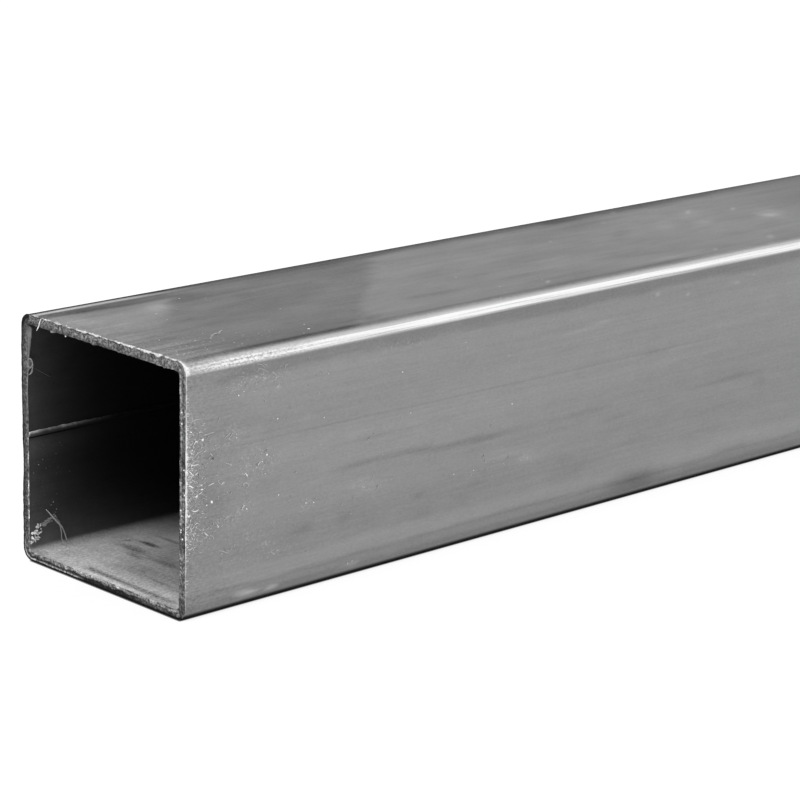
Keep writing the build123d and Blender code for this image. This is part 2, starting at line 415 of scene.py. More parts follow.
    crumbs = ovals(x + 0.5 * sx, z + 0.5 * sy, CRUMB_SHAPES)
    crumbs = crumbs + smooth(5.0, 0.3, x) * between(z, 17.0, 31.0, 3.5) + smooth(5.0, 0.3, x) * between(z, 11.5, 14.5, 1.5) + 0.45 * smooth(3.0, 0.3, x) * between(z, 6.0, 34.0, 2.0)
    crumbs = f * np.clip(crumbs, 0, 1) + t * 0.40 * smooth(14.0, 1.0, x) * smooth(2.0, -10.0, y)
    return tone, crumbs


def end_zone(m, near):
    """The last few millimetres of the tube: sawn face, burred edges and both skins. Returns the inmost fine rings."""
    sgn = -1.0 if near else 1.0
    seed = 5 if near else 50
    bo, bi, run, white = end_fields(near)
    a = 2 * math.pi * S_LEN / PERIMETER
    rr = PERIMETER / (2 * math.pi)
    cx, cy = np.cos(a) * rr, np.sin(a) * rr          # a closed path for noise round the section

    def place(yz, depth):
        return np.column_stack([sgn * (HALF - depth), yz[:, 0], yz[:, 1]])

    # the cut sits a hair inside the end plane, so that burrs reach it but don't pass it
    recess = 0.10
    rows = [0.0, 0.035, 0.09, 0.14, 0.20, 0.27, 0.35, 0.44, 0.54, 0.64, 0.74, 0.83, 0.91, 0.965, 1.0]
    levels = cut_levels(near, rows)
    ring_ids = []
    verts, bare, level = [], [], []

    def push(p, b, d):
        ring_ids.append(sum(len(q) for q in verts))
        verts.append(p); bare.append(np.broadcast_to(b, (N,))); level.append(np.broadcast_to(d, (N,)))

    depth_out = [7.0, 5.0, 3.6, 2.5, 1.7, 1.1, 0.75, 0.5, 0.32, 0.18, 0.08]
    floor_guard = np.where(S_NOR[:, 1] < -0.3, 0.0, 1.0)      # nothing grows below the underside
    flake = noise3(cx / 0.25, cy / 0.25, 0.0, seed + 30)
    z_out, y_out = S_OUT[:, 1], S_OUT[:, 0]
    # painted highlight on the arris, by how the light falls: full along the top and the middle of the front side, less
    # towards its foot, none beside the seam wall
    arris_highlight = on_side(TOP) + on_side(FRONT) * (0.70 + 0.30 * between(z_out, 10, 31, 3) + 0.30 * smooth(36.5, 38.2, z_out)) * (1 - 0.45 * smooth(8, 4, z_out)) * smooth(0.8, 2.4, z_out)
    arris_highlight = np.clip(arris_highlight * (0.25 + 0.75 * smooth(19.6, 18.2, y_out)), 0, 1)
    # outer skin, from inside the tube towards the cut
    for d in depth_out:
        lift = bo * math.exp(-(d / 0.22) ** 1.2) * floor_guard
        ripple = 0.012 * fbm3(cx / 3.0, cy / 3.0, d / 1.5, seed + 1, 2) * smooth(7.0, 3.0, d)
        yz = S_OUT + S_NOR * (lift + np.minimum(ripple, 0.004) - 0.004 * smooth(7.0, 5.0, d))[:, None]
        b = smooth(0.0, 0.14, run + 0.10 * flake - d) * smooth(0.02, 0.05, bo) * floor_guard * arris_highlight
        push(place(yz, d + 0.02 * fbm3(cx / 0.5, cy / 0.5, d, seed + 2, 2) * smooth(0.6, 0.1, d)), b, 0.15)
    # the sawn face, row by row across the wall
    span = S_IN - S_OUT
    for k, w in enumerate(rows):
        rough = 0.045 * fbm3(cx / 0.45, cy / 0.45, w * 3.3, seed + 8, 3) + 0.03 * noise3(cx / 1.7, cy / 1.7, w * 1.2, seed + 9)
        yz = S_OUT + span * w
        if w < 0.1:
            grow = (bo * floor_guard) * (1.0 - w / 0.1) ** 1.3
            yz = yz + S_NOR * grow[:, None]
            tip = (bo * 0.40 + 0.02) * (1.0 - w / 0.1)
        elif w > 0.9:
            grow = bi * ((w - 0.9) / 0.1) ** 1.3
            yz = yz - S_NOR * grow[:, None]
            tip = (bi * 0.3) * ((w - 0.9) / 0.1)
        else:
            tip = 0.0
        depth = np.maximum(recess + rough - tip, 0.004)
        rim = smooth(0.04, 0.10, bo) * (1.0 if w < 0.01 else 0.85 if w < 0.05 else 0.0) * floor_guard * arris_highlight
        rim = np.maximum(rim, (smooth(0.12, 0.24, bo) * 0.9 if 0.05 < w < 0.1 else smooth(0.22, 0.36, bo) * 0.6 if 0.1 < w < 0.15 else 0.0) * arris_highlight)
        flat_top = on_side(TOP) * smooth(-18.6, -17.6, y_out)
        rim = rim * (1 - flat_top) + flat_top * smooth(-0.015, 0.03, white - w) * arris_highlight
        b = rim * (0.75 + 0.25 * smooth(-0.3, 0.4, flake)) + 0.3 * smooth(0.16, 0.34, bi) * (w > 0.95)
        push(place(yz, depth), np.clip(b, 0, 1), levels[k])
    # inner skin, from the cut inwards
    for d in reversed(depth_out):
        lift = bi * math.exp(-(d / 0.14) ** 1.2)
        ripple = 0.02 * fbm3(cx / 2.0, cy / 2.0, d / 1.5, seed + 21, 2) * smooth(7.0, 3.0, d)
        yz = S_IN - S_NOR * (lift + ripple)[:, None]
        push(place(yz, d + 0.03 * fbm3(cx / 0.5, cy / 0.5, d, seed + 22, 2) * smooth(0.6, 0.1, d)),
             smooth(0.3, 0.0, d) * smooth(0.12, 0.30, bi) * 0.6, 0.15)
    # the far end keeps every second point and row
    step = 1 if near else 2
    pick = list(range(len(verts)))
    if not near:
        pick = [0, 2, 4, 6, 8, 9, 10, 11, 12, 13, 15, 17, 19, 21, 23, 24, 25, 26, 28, 30, 32, 34, 36]
    else:
        pick = [k for k in pick if k not in (27, 29, 33, 35)]
    n_out = len(depth_out)
    kind = [OUTER if k < n_out else (CUT if k < n_out + len(rows) - 1 else INNER) for k in range(len(verts))]
    verts = [verts[k][::step] for k in pick]
    tones = [skin_paint(v, S_NOR[::step]) if kind[k] == OUTER else (np.zeros(len(v)), np.zeros(len(v))) for v, k in zip(verts, pick)]
    n = N // step
    faces, mats = [], []
    for r in range(len(pick) - 1):
        p, q = r * n, (r + 1) * n
        for i in range(n):
            j = (i + 1) % n
            faces.append((p + i, p + j, q + j, q + i))
        mats += S_MAT[::step].tolist() if kind[pick[r]] == OUTER else [kind[pick[r]]] * n
    base = m.add(np.concatenate(verts), faces, mats, bare=np.concatenate([bare[k][::step] for k in pick]), level=np.concatenate([level[k][::step] for k in pick]),
                 tone=np.concatenate([t[0] for t in tones]), fleck=np.concatenate([t[1] for t in tones]))
    return base, base + (len(pick) - 1) * n, np.arange(0, N, step)


def stitch(m, fine, fine_keep, coarse, coarse_keep, mat):
    """Joins a ring to another that keeps only some of its points. The keeps number them round the section."""
    where = {int(k): i for i, k in enumerate(fine_keep)}
    n, faces, mats = len(fine_keep), [], []
    K = len(coarse_keep)
    for k in range(K):
        mats += [int(S_MAT[coarse_keep[k - 1]]) if mat == OUTER else mat] * (len(faces) - len(mats))
        a, b = where[int(coarse_keep[k])], where[int(coarse_keep[(k + 1) % K])]
        run = [(a + i) % n for i in range(((b - a) % n) + 1)]
        c0, c1 = coarse + k, coarse + (k + 1) % K
        mid = (len(run) - 1) // 2
        for i in range(mid):
            faces.append((fine + run[i], fine + run[i + 1], c0))
        if len(run) == 2:
            faces.append((fine + run[0], fine + run[1], c1, c0))
            continue
        faces.append((fine + run[mid], c1, c0))
        for i in range(mid, len(run) - 1):
            faces.append((fine + run[i], fine + run[i + 1], c1))
    mats += [int(S_MAT[coarse_keep[-1]]) if mat == OUTER else mat] * (len(faces) - len(mats))
    m.f.extend(faces)
    m.m.extend(mats)


# the front side and the top keep more points over the length that the photograph shows
PER = N_FLAT + N_CORNER
MEDIUM = np.array([i for i in range(N) if (i % PER < N_FLAT and (i % PER) % (2 if i // PER in (FRONT, TOP) else STEP_FLAT) == 0) or (i % PER >= N_FLAT and (i % PER - N_FLAT) % STEP_CORNER == 0)])


def body(m):
    near_out, near_in, near_keep = end_zone(m, True)
    far_out, far_in, far_keep = end_zone(m, False)
    far_xs = np.linspace(-HALF + 178.0, HALF - 12.0, 66)
    near_xs = np.linspace(-HALF + 12.0, -HALF + 170.0, 16)

    def rings(keep, xs, mat):
        ring, nor = (S_OUT if mat == OUTER else S_IN)[keep], S_NOR[keep]
        K = len(ring)
        # the corners stay straight; the flats are a few hundredths of a millimetre hollow and wander slowly
        fade = 1 - np.abs(nor[:, 0] * nor[:, 1]) * 2
        verts = []
        for x in xs:
            away = smooth(0, 30, HALF - abs(x))
            bow = 0.035 * (1 - (np.where(np.abs(nor[:, 1]) > 0.5, ring[:, 0], ring[:, 1] - 20) / 18.0) ** 2)
            wander = 0.02 * (1 + noise3(x / 70.0, nor[:, 0] * 3.1, nor[:, 1] * 3.7, 31))
            yz = ring - nor * ((np.clip(bow, 0, 1) + wander) * fade * away)[:, None]
            verts.append(np.column_stack([np.full(K, x), yz[:, 0], yz[:, 1]]))
        faces = [(r * K + k, r * K + (k + 1) % K, (r + 1) * K + (k + 1) % K, (r + 1) * K + k) for r in range(len(xs) - 1) for k in range(K)]
        verts = np.concatenate(verts)
        tone, fleck = skin_paint(verts, np.tile(nor, (len(xs), 1))) if mat == OUTER else (0.0, 0.0)
        return m.add(verts, faces, S_MAT[keep].tolist() * (len(xs) - 1) if mat == OUTER else mat, tone=tone, fleck=fleck), (len(xs) - 1) * K

    # outside: a finer part near the cut, then the rest
    xs = np.concatenate([[-HALF + 8.3], np.arange(-HALF + 10.0, -HALF + 58.0, 2.0), np.arange(-HALF + 58.0, -HALF + 172.0, 3.0)])
    fine, last = rings(MEDIUM, xs, OUTER)
    stitch(m, near_out, near_keep, fine, MEDIUM, OUTER)
    rest, end = rings(KEEP, np.concatenate([far_xs, [HALF - 8.5]]), OUTER)
    stitch(m, fine + last, MEDIUM, rest, KEEP, OUTER)
    stitch(m, far_out, far_keep, rest + end, KEEP, OUTER)
    # inside
    base, end = rings(KEEP, np.concatenate([[-HALF + 8.5], near_xs, far_xs, [HALF - 8.5]]), INNER)
    stitch(m, near_in, near_keep, base, KEEP, INNER)
    stitch(m, far_in, far_keep, base + end, KEEP, INNER)


def bead(m):
    """The irregular bead that the seam weld left inside the +Y wall, standing in the wall's surface."""
    face = WIDTH / 2 - WALL
    xs = [0.12]
    while xs[-1] < 2 * HALF - 0.12:
        x = xs[-1]
        end = min(x, 2 * HALF - x)
        xs.append(x + (0.28 if end < 22 else 0.6 if end < 45 else 3.0))
    xs[-1] = 2 * HALF - 0.12
    xs = np.array(xs)
    angles = np.linspace(0, math.pi, 8)
    verts = []
    for k, ang in enumerate(angles):
        up, outw = math.cos(ang), math.sin(ang)
        lump = 1 + 0.32 * fbm3(xs / 0.55, k * 0.45, 0.0, 91, 2) + 0.22 * noise3(xs / 2.6, k * 0.2, 2.0, 92)
        wob = 0.07 * noise3(xs / 4.0, 0.0, 0.0, 93) + 0.04 * noise3(xs / 0.8, 1.0, 0.0, 94)
        z = BEAD_Z + wob + up * BEAD_W / 2 * (1 + 0.15 * noise3(xs / 1.1, up, 0.0, 95))
        y = face + 0.06 - outw ** 0.8 * (BEAD_H + 0.06) * lump
        verts.append(np.column_stack([xs - HALF, y, z]))
    # the buried side
    verts.append(np.column_stack([xs - HALF, np.full(len(xs), face + 0.25), np.full(len(xs), BEAD_Z - BEAD_W * 0.4)]))
    verts.append(np.column_stack([xs - HALF, np.full(len(xs), face + 0.25), np.full(len(xs), BEAD_Z + BEAD_W * 0.4)]))
    grid = np.stack(verts, 1)
    n, k = grid.shape[:2]
    faces = []
    for i in range(n - 1):
        for j in range(k):
            l = (j + 1) % k
            faces.append((i * k + j, i * k + l, (i + 1) * k + l, (i + 1) * k + j))
    faces.append(tuple(range(k)))
    faces.append(tuple((n - 1) * k + j for j in reversed(range(k))))
    # angle 0 is the bead's upper side: a painted highlight lies on it near the mouth, where the light falls, while its
    # underside keeps the wall's dark paint as painted shade
    ends = np.minimum(xs, 2 * HALF - xs)
    painted_shine = (0.55 + 0.45 * smooth(-0.2, 0.5, fbm3(xs / 0.45, 0.0, 7.0, 96, 2))) * (1.1 * np.exp(-((ends / 2.6) ** 2)) + 0.50 * np.exp(-((ends - 7.5) / 5.0) ** 2) + 0.02)
    b = np.clip(painted_shine[:, None] * np.array([1, 1, 0.75, 0.25, 0.05, 0, 0, 0, 0, 0.6])[None, :], 0, 1)
    m.add(grid.reshape(-1, 3), faces, INNER, bare=b)


# ---------------------------------------------------------------------------
# Small loose and half-loose bits of metal
# ---------------------------------------------------------------------------
def ball():
    bm = bmesh.new()
    bmesh.ops.create_icosphere(bm, subdivisions=1, radius=1.0)
    v = np.array([tuple(p.co) for p in bm.verts])
    f = [tuple(q.index for q in p.verts) for p in bm.faces]
    bm.free()
    return v, f


BALL = ball()


def chip(m, rng, at, u, v, n, size, flat=0.45, long=1.0, mat=BURR, bare=1.0):
    """An irregular crumb of metal on a surface: u, v lie in the surface, n stands off it."""
    p, f = BALL
    jit = 1 + 0.38 * np.array([[rng.uniform(-1, 1) for _ in range(3)] for _ in range(len(p))])
    q = p * jit
    turn = rng.uniform(0, math.pi)
    c, s = math.cos(turn), math.sin(turn)
    a = (q[:, 0] * c - q[:, 1] * s) * long
    b = q[:, 0] * s + q[:, 1] * c
    pts = np.array(at) + size * (np.outer(a, u) + np.outer(b, v)) + np.outer(q[:, 2] * size * flat, n)
    m.add(pts, f, mat, bare=bare)


def strand(m, points, radius, mat=BURR, bare=1.0, sides=6, taper=0.75, flatten=1.0, flat_dir=None, steps=6):
    """A tapering curl or whisker along points."""
    pts = np.array(points, float)
    # a smooth line through the points
    t = np.linspace(0, len(pts) - 1, (len(pts) - 1) * steps + 1)
    line = []
    for s in t:
        i = min(int(s), len(pts) - 2)
        w = s - i
        p0, p1, p2, p3 = pts[max(i - 1, 0)], pts[i], pts[i + 1], pts[min(i + 2, len(pts) - 1)]
        line.append(0.5 * ((2 * p1) + (-p0 + p2) * w + (2 * p0 - 5 * p1 + 4 * p2 - p3) * w * w + (-p0 + 3 * p1 - 3 * p2 + p3) * w ** 3))
    line = np.array(line)
    tan = np.gradient(line, axis=0)
    tan /= np.linalg.norm(tan, axis=1)[:, None]
    ref = np.array(flat_dir if flat_dir is not None else (0.31, 0.52, 0.79), float)
    verts = []
    n = len(line)
    for i in range(n):
        a = ref - tan[i] * (ref @ tan[i])
        a /= np.linalg.norm(a)
        b = np.cross(tan[i], a)
        u = i / (n - 1)
        r = radius * (1 - taper * abs(2 * u - 1) ** 1.5)
        for k in range(sides):
            g = 2 * math.pi * k / sides
            verts.append(line[i] + r * (flatten * a * math.cos(g) + b * math.sin(g)))
    faces = []
    for i in range(n - 1):
        for k in range(sides):
            l = (k + 1) % sides
            faces.append((i * sides + k, i * sides + l, (i + 1) * sides + l, (i + 1) * sides + k))
    faces.append(tuple(reversed(range(sides))))
    faces.append(tuple((n - 1) * sides + k for k in range(sides)))
    m.add(verts, faces, mat, bare=bare)


def sheet(m, centre, thick, mat=BURR, bare=0.5, level=0.15):
    """A thin closed leaf from a grid of centre points (rows, columns, 3)."""
    c = np.asarray(centre, float)
    gu, gv = np.gradient(c, axis=0), np.gradient(c, axis=1)
    n = np.cross(gu, gv)
    n /= np.maximum(np.linalg.norm(n, axis=2), 1e-9)[..., None]
    th = np.asarray(thick, float)
    th = np.broadcast_to(th, c.shape[:2])[..., None]
    top, bot = c + n * th / 2, c - n * th / 2
    R, C = c.shape[:2]
    verts = np.concatenate([top.reshape(-1, 3), bot.reshape(-1, 3)])
    o = R * C
    faces = []
    for i in range(R - 1):
        for j in range(C - 1):
            a, b, d, e = i * C + j, i * C + j + 1, (i + 1) * C + j + 1, (i + 1) * C + j
            faces.append((a, b, d, e))
            faces.append((o + a, o + e, o + d, o + b))
    rim = [(0, j) for j in range(C)] + [(i, C - 1) for i in range(1, R)] + [(R - 1, j) for j in range(C - 2, -1, -1)] + [(i, 0) for i in range(R - 2, 0, -1)]
    for k in range(len(rim)):
        (i, j), (p, q) = rim[k], rim[(k + 1) % len(rim)]
        a, b = i * C + j, p * C + q
        faces.append((a, o + a, o + b, b))
    m.add(verts, faces, mat, bare=bare, level=level)


def burr_details(m):
    near = -HALF
    inner = WIDTH / 2 - WALL

    # the leaf of metal folded in along the top of the +Y wall's inner edge
    rows = np.linspace(0, 1, 46)
    grid = []
    for r in rows:
        z = 38.3 - r * 5.4                       # from under the top corner downwards
        wide = (1.26 * smooth(0.0, 0.06, r) - 0.88 * r
                + 0.05 * float(noise3(r * 9, 0, 0, 7)) + 0.03 * float(noise3(r * 30, 0, 0, 8)))
        wide = max(wide, 0.18)
        line = []
        for c in np.linspace(0, 1, 9):
            y = inner + 0.14 - c * wide
            x = near + 0.10 + 0.08 * c + 0.06 * math.sin(c * math.pi) + 0.04 * float(noise3(r * 12, c * 2, 0, 9))
            line.append((x, y, z + 0.05 * float(noise3(r * 10, c * 3, 3, 10))))
        grid.append(line)
    sheet(m, grid, 0.13, BURR, np.tile(np.repeat(0.10 * smooth(0.05, 0.28, rows), 9), 2))

    # the curl that it ends in: a small rolled ear
    grid = []
    for i, a in enumerate(np.linspace(-0.15, 1.0, 34)):
        ang = a * 2 * math.pi
        line = []
        for j, c in enumerate(np.linspace(0, 1, 7)):
            g = c * math.pi * 1.15
            rad_y, rad_z = 0.80 + 0.10 * math.cos(g), 0.76 + 0.09 * math.cos(g)
            y = inner - 0.60 - rad_y * 0.86 * math.cos(ang) * (1 + 0.16 * float(noise3(a * 5, c, 1, 12)))
            z = 32.36 + rad_z * 0.95 * math.sin(ang) * (1 + 0.12 * float(noise3(a * 5, c, 4, 12)))
            x = near + 0.11 - 0.08 * math.sin(g)
            line.append((x, y, z))
        grid.append(line)
    sheet(m, grid, 0.06, BURR, 0.15)
    # its hollow floor and its tail
    grid = []
    for i in np.linspace(0, 1, 9):
        line = []
        for j in np.linspace(0, 1, 7):
            line.append((near + 0.12 + 0.05 * math.sin(i * 3), inner + 0.10 - 1.32 * j * math.sin(0.30 + 2.5 * i), 33.05 - 1.45 * i))
        grid.append(line)
    sheet(m, grid, 0.06, CUT, 0.0, 0.075)
    strand(m, [(near + 0.12, inner - 1.24, 31.9), (near + 0.10, inner - 1.20, 31.6), (near + 0.12, inner - 1.05, 31.1), (near + 0.12, inner - 0.72, 30.7), (near + 0.12, inner - 0.22, 30.38)],
           0.12, BURR, 0.18, taper=0.5)
    strand(m, [(near + 0.10, inner - 0.80, 31.60), (near + 0.10, inner - 0.40, 31.40), (near + 0.12, inner - 0.05, 30.9)], 0.07, BURR, 0.14, taper=0.5)
    # a lighter rib down the leaf and on down the wall's inner edge
    strand(m, [(near + 0.08, inner - 0.55, 36.6), (near + 0.08, inner - 0.40, 34.8), (near + 0.10, inner - 0.30, 33.4), (near + 0.08, inner - 0.02, 30.0), (near + 0.06, inner + 0.1, 27.5), (near + 0.07, inner + 0.12, 25.0)],
           0.07, BURR, 0.16, taper=0.5)

    # whiskers across the top wall's cut face, near the +Y corner
    strand(m, [(near + 0.02, 14.85, 40.05), (near - 0.0, 15.12, 39.5), (near + 0.01, 15.45, 38.75), (near + 0.05, 16.05, 37.9)], 0.10, BURR, 1.0, taper=0.6)
    strand(m, [(near + 0.03, 14.0, 39.95), (near + 0.01, 14.34, 39.7), (near + 0.03, 14.86, 39.15)], 0.055, BURR, 0.5, taper=0.7)

    rng = random.Random(4)
    # short curls along the edges
    for _ in range(46):
        y = rng.uniform(-18.0, 17.5)
        z = 40.0 + rng.uniform(-0.02, 0.10)
        p = np.array([near + rng.uniform(0.0, 0.12), y, z])
        d = np.array([rng.uniform(-0.04, 0.22), rng.uniform(-0.40, 0.40), rng.uniform(-0.02, 0.14)])
        strand(m, [p, p + d * 0.5 + (0, 0, 0.05), p + d], rng.uniform(0.03, 0.06), BURR, 1.0, sides=4, taper=0.7, steps=3)
    for _ in range(95):
        z = 40.0 * min(max(rng.gauss(0.50, 0.17), 0.12), 0.9)
        p = np.array([near + rng.uniform(0.02, 0.12), -20.0 - rng.uniform(0.0, 0.05), z])
        d = np.array([rng.uniform(0.1, 0.6), -rng.uniform(0.0, 0.05), rng.uniform(-0.16, 0.10)])
        strand(m, [p, p + d * 0.5 + (0, -0.03, 0.02), p + d], rng.uniform(0.02, 0.045), BURR, 1.0, sides=4, taper=0.7, steps=3)
    chip(m, rng, (near + 0.05, 8.74, 38.42), (0, 1, 0), (0, 0, 1), (-1, 0, 0), 0.13, 0.6, 1.2, BURR, 1.0)
    # bright specks on the sawn face of the front wall
    for y, z in ((-19.06, 32.4), (-19.07, 30.65), (-19.62, 23.7), (-19.75, 19.85), (-19.13, 16.5), (-18.97, 14.3), (-18.95, 13.95), (-19.3, 12.9), (-18.9, 17.3)):
        chip(m, rng, (near + 0.07, y, z), (0, 1, 0), (0, 0, 1), (-1, 0, 0), 0.14, 0.5, 1.2, BURR, 1.0)

    # curls, slivers and crumbs on the front side beside the cut
    def front(x, z, size, bare=1.0, long=1.0, flat=0.4):
        chip(m, rng, (near + x, -20.0, z), (1, 0, 0), (0, 0, 1), (0, -1, 0), size, flat, long, BURR, bare)

    def sliver(points, radius, bare, sides=4, steps=4):
        radius = radius * 1.2
        strand(m, [(near + x, -20.0 - 0.3 * radius, z) for x, z in points], radius, BURR, min(1.0, max(0.40, bare * 1.15)), sides=sides, taper=0.6, steps=steps)

    for points, radius, bare in (
            (((1.38, 31.05), (2.1, 31.2), (2.87, 31.07)), 0.05, 0.45), (((3.65, 28.46), (4.6, 28.62), (5.63, 28.65)), 0.06, 0.38),
            (((1.61, 27.41), (2.01, 27.88), (2.22, 27.57)), 0.08, 0.8), (((1.81, 25.62), (2.4, 26.0), (3.05, 26.16)), 0.06, 0.45),
            (((3.46, 25.87), (3.75, 26.05), (4.02, 26.09)), 0.06, 0.5), (((0.86, 24.58), (1.47, 24.25), (2.51, 24.27)), 0.07, 0.7),
            (((0.60, 23.54), (1.0, 23.2), (1.43, 22.72)), 0.08, 0.9), (((1.83, 22.65), (2.1, 22.9), (2.38, 22.99)), 0.09, 0.55),
            (((7.45, 27.32), (8.1, 27.75), (8.69, 28.00)), 0.06, 0.25), (((7.76, 23.39), (8.4, 23.2), (8.90, 22.85)), 0.06, 0.40),
            (((11.66, 21.15), (11.85, 20.9), (12.05, 20.55)), 0.10, 0.75), (((0.61, 21.28), (1.05, 21.1), (1.50, 20.78)), 0.11, 1.0),
            (((2.94, 20.22), (3.15, 20.24), (3.42, 20.17)), 0.10, 0.9), (((1.90, 19.2), (2.1, 19.38), (2.38, 19.42)), 0.10, 0.85),
            (((2.54, 19.53), (2.9, 19.7), (3.23, 19.73)), 0.07, 0.6), (((1.19, 17.36), (1.86, 17.07), (2.55, 17.20)), 0.08, 0.75),
            (((11.05, 15.5), (11.2, 15.95), (11.64, 16.06)), 0.08, 0.55), (((3.68, 13.29), (4.05, 13.1), (4.39, 12.75)), 0.09, 0.6),
            (((3.27, 13.72), (3.4, 14.0), (3.54, 14.22)), 0.06, 0.45), (((6.50, 10.02), (7.4, 9.7), (8.33, 9.17)), 0.06, 0.32),
            (((7.9, 9.9), (8.2, 9.6), (8.5, 9.75)), 0.05, 0.3), (((7.57, 14.73), (8.3, 15.0), (8.98, 15.08)), 0.06, 0.28),
            (((6.04, 14.71), (6.4, 14.5), (6.73, 14.12)), 0.05, 0.35), (((13.73, 37.7), (14.6, 37.5), (15.34, 36.87)), 0.05, 0.35),
            (((14.9, 37.6), (15.5, 37.3), (15.90, 36.8)), 0.05, 0.35), (((14.09, 37.0), (15.0, 36.7), (15.73, 36.11)), 0.05, 0.35),
            (((16.6, 35.9), (17.2, 35.7), (17.6, 35.2)), 0.05, 0.3), (((10.4, 36.2), (10.9, 36.3), (11.2, 36.0), (10.9, 35.7)), 0.05, 0.35),
            (((0.35, 16.9), (0.6, 16.5), (0.9, 16.7)), 0.12, 0.9), (((0.4, 11.6), (0.9, 11.3), (1.3, 11.5)), 0.07, 0.5)):
        sliver(points, radius, bare)
    for x, z, size in ((3.25, 27.85, 0.23), (5.10, 17.92, 0.26), (4.14, 17.61, 0.12), (12.0, 15.43, 0.13), (6.38, 13.75, 0.12), (10.21, 33.45, 0.13), (11.26, 33.91, 0.08),
                       (1.36, 11.49, 0.10), (0.88, 10.75, 0.09), (1.1, 29.4, 0.12), (1.3, 26.6, 0.13), (15.9, 23.2, 0.17), (15.0, 22.3, 0.12), (18.0, 28.5, 0.12), (11.5, 21.0, 0.08),
                       (15.6, 20.3, 0.10), (7.2, 20.4, 0.10), (6.3, 14.0, 0.09), (18.4, 16.4, 0.10), (24.0, 14.0, 0.11), (25.6, 13.8, 0.11),
                       (9.9, 27.0, 0.11), (28.3, 33.8, 0.09), (27.5, 27.0, 0.08), (44.0, 31.5, 0.10), (69.0, 22.0, 0.11), (46.0, 24.5, 0.09), (56.0, 12.5, 0.10), (60.5, 12.3, 0.10)):
        front(x, z, size)
    # the same, unplanned: thick beside the cut between a third and three quarters of the height, thin elsewhere
    for _ in range(170):
        x = abs(rng.expovariate(1 / 1.0)) + 0.10
        z = 40.0 * rng.gauss(0.55, 0.13) if rng.random() < 0.8 else 40.0 * rng.gauss(0.33, 0.03)
        if not 9 < z < 34 or x > 4:
            continue
        front(x, z, 0.03 + 0.06 * rng.random() ** 2, rng.uniform(0.30, 1.0), rng.uniform(1.0, 2.4), 0.3)
    for _ in range(120):
        x = abs(rng.expovariate(1 / 2.4)) + 0.15
        z = 40.0 * rng.gauss(0.52, 0.14) if rng.random() < 0.8 else 40.0 * rng.gauss(0.33, 0.03)
        if not 8 < z < 34 or x > 14:
            continue
        turn, size, bend = rng.uniform(-1.0, 1.3), rng.uniform(0.18, 0.50), rng.uniform(-0.7, 0.7)
        c, q = math.cos(turn) * size, math.sin(turn) * size
        sliver([(x - c, z - q), (x - bend * q, z + bend * c), (x + c, z + q)], rng.uniform(0.035, 0.065), rng.uniform(0.3, 0.9) * (0.50 + 0.50 * math.exp(-x / 3.0)), 3, 3)
    for cx, cz, sx, sz, count in ((13.5, 35.6, 3.0, 1.2, 16), (14.5, 22.5, 2.2, 1.5, 16), (9.0, 27.0, 2.4, 1.4, 10), (9.5, 21.0, 3.0, 2.4, 14), (8.0, 9.6, 2.0, 0.7, 6), (20.0, 31.0, 7.0, 3.0, 12),
                                  (26.0, 15.0, 8.0, 4.0, 12), (62.0, 12.6, 5.0, 0.8, 8), (45.0, 22.0, 22.0, 10.0, 16), (7.5, 14.8, 2.0, 0.5, 8), (2.0, 12.8, 1.2, 0.9, 14)):
        for _ in range(count):
            x, z = rng.gauss(cx, sx), rng.gauss(cz, sz)
            turn, size, bend = rng.uniform(-1.2, 1.2), rng.uniform(0.14, 0.42), rng.uniform(-0.9, 0.9)
            if not (x > 0.5 and 1.5 < z < 37.2):
                continue
            c, q = math.cos(turn) * size, math.sin(turn) * size
            sliver([(x - c, z - q), (x - bend * q, z + bend * c), (x + c, z + q)], rng.uniform(0.025, 0.045), rng.uniform(0.12, 0.45), 3, 3)
            if rng.random() < 0.5:
                front(x + rng.gauss(0, 0.4), z + rng.gauss(0, 0.4), rng.uniform(0.03, 0.06), rng.uniform(0.3, 0.9), 1.3, 0.3)

    # crumbs on the top, and the short scratch thrown up beside them
    def top(x, y, size, bare=1.0, long=1.0, flat=0.35):
        chip(m, rng, (near + x, y, 40.0), (1, 0, 0), (0, 1, 0), (0, 0, 1), size, flat, long, BURR, bare)

    for _ in range(60):
        x, y = abs(rng.gauss(9, 6)) + 0.4, rng.gauss(-13.0, 2.5)
        if -17.5 < y < 17:
            top(x, y, rng.uniform(0.035, 0.08), rng.uniform(0.4, 1.0), rng.uniform(1.0, 2.0))
    for _ in range(70):
        x, y = abs(rng.gauss(0, 26)) + 0.6, rng.uniform(-17.5, 17.5)
        top(x, y, rng.uniform(0.03, 0.07), rng.uniform(0.3, 0.9), rng.uniform(1.0, 2.0))
    strand(m, [(near + 13.4, -9.6, 40.0), (near + 14.8, -9.0, 40.02), (near + 15.8, -8.9, 40.0), (near + 16.8, -7.9, 40.01)], 0.08, BURR, 0.42, taper=0.7)
    strand(m, [(near + 15.6, -8.6, 40.0), (near + 16.8, -8.2, 40.02), (near + 17.4, -7.7, 40.0)], 0.06, BURR, 0.36, taper=0.7)
    strand(m, [(near + 12.2, -11.4, 40.0), (near + 13.0, -10.2, 40.01), (near + 14.2, -9.6, 40.0)], 0.07, BURR, 0.30, taper=0.7)
    for x, y, size in ((28.2, -15.4, 0.16), (29.6, -12.8, 0.09), (16.0, 6.5, 0.10), (25.3, 12.2, 0.09), (71.0, -4.2, 0.10), (72.0, -13.4, 0.10), (81.0, -14.5, 0.10)):
        top(x, y, size, 0.8, 1.5)

    # inside the +Y wall: a smear of flakes low down by the cut, with a trail, and a fine forked shaving
    def wall_in(x, z, size, bare=0.8, long=1.0, flat=0.35):
        chip(m, rng, (near + x, inner, z), (1, 0, 0), (0, 0, 1), (0, -1, 0), size, flat, long, BURR, bare)

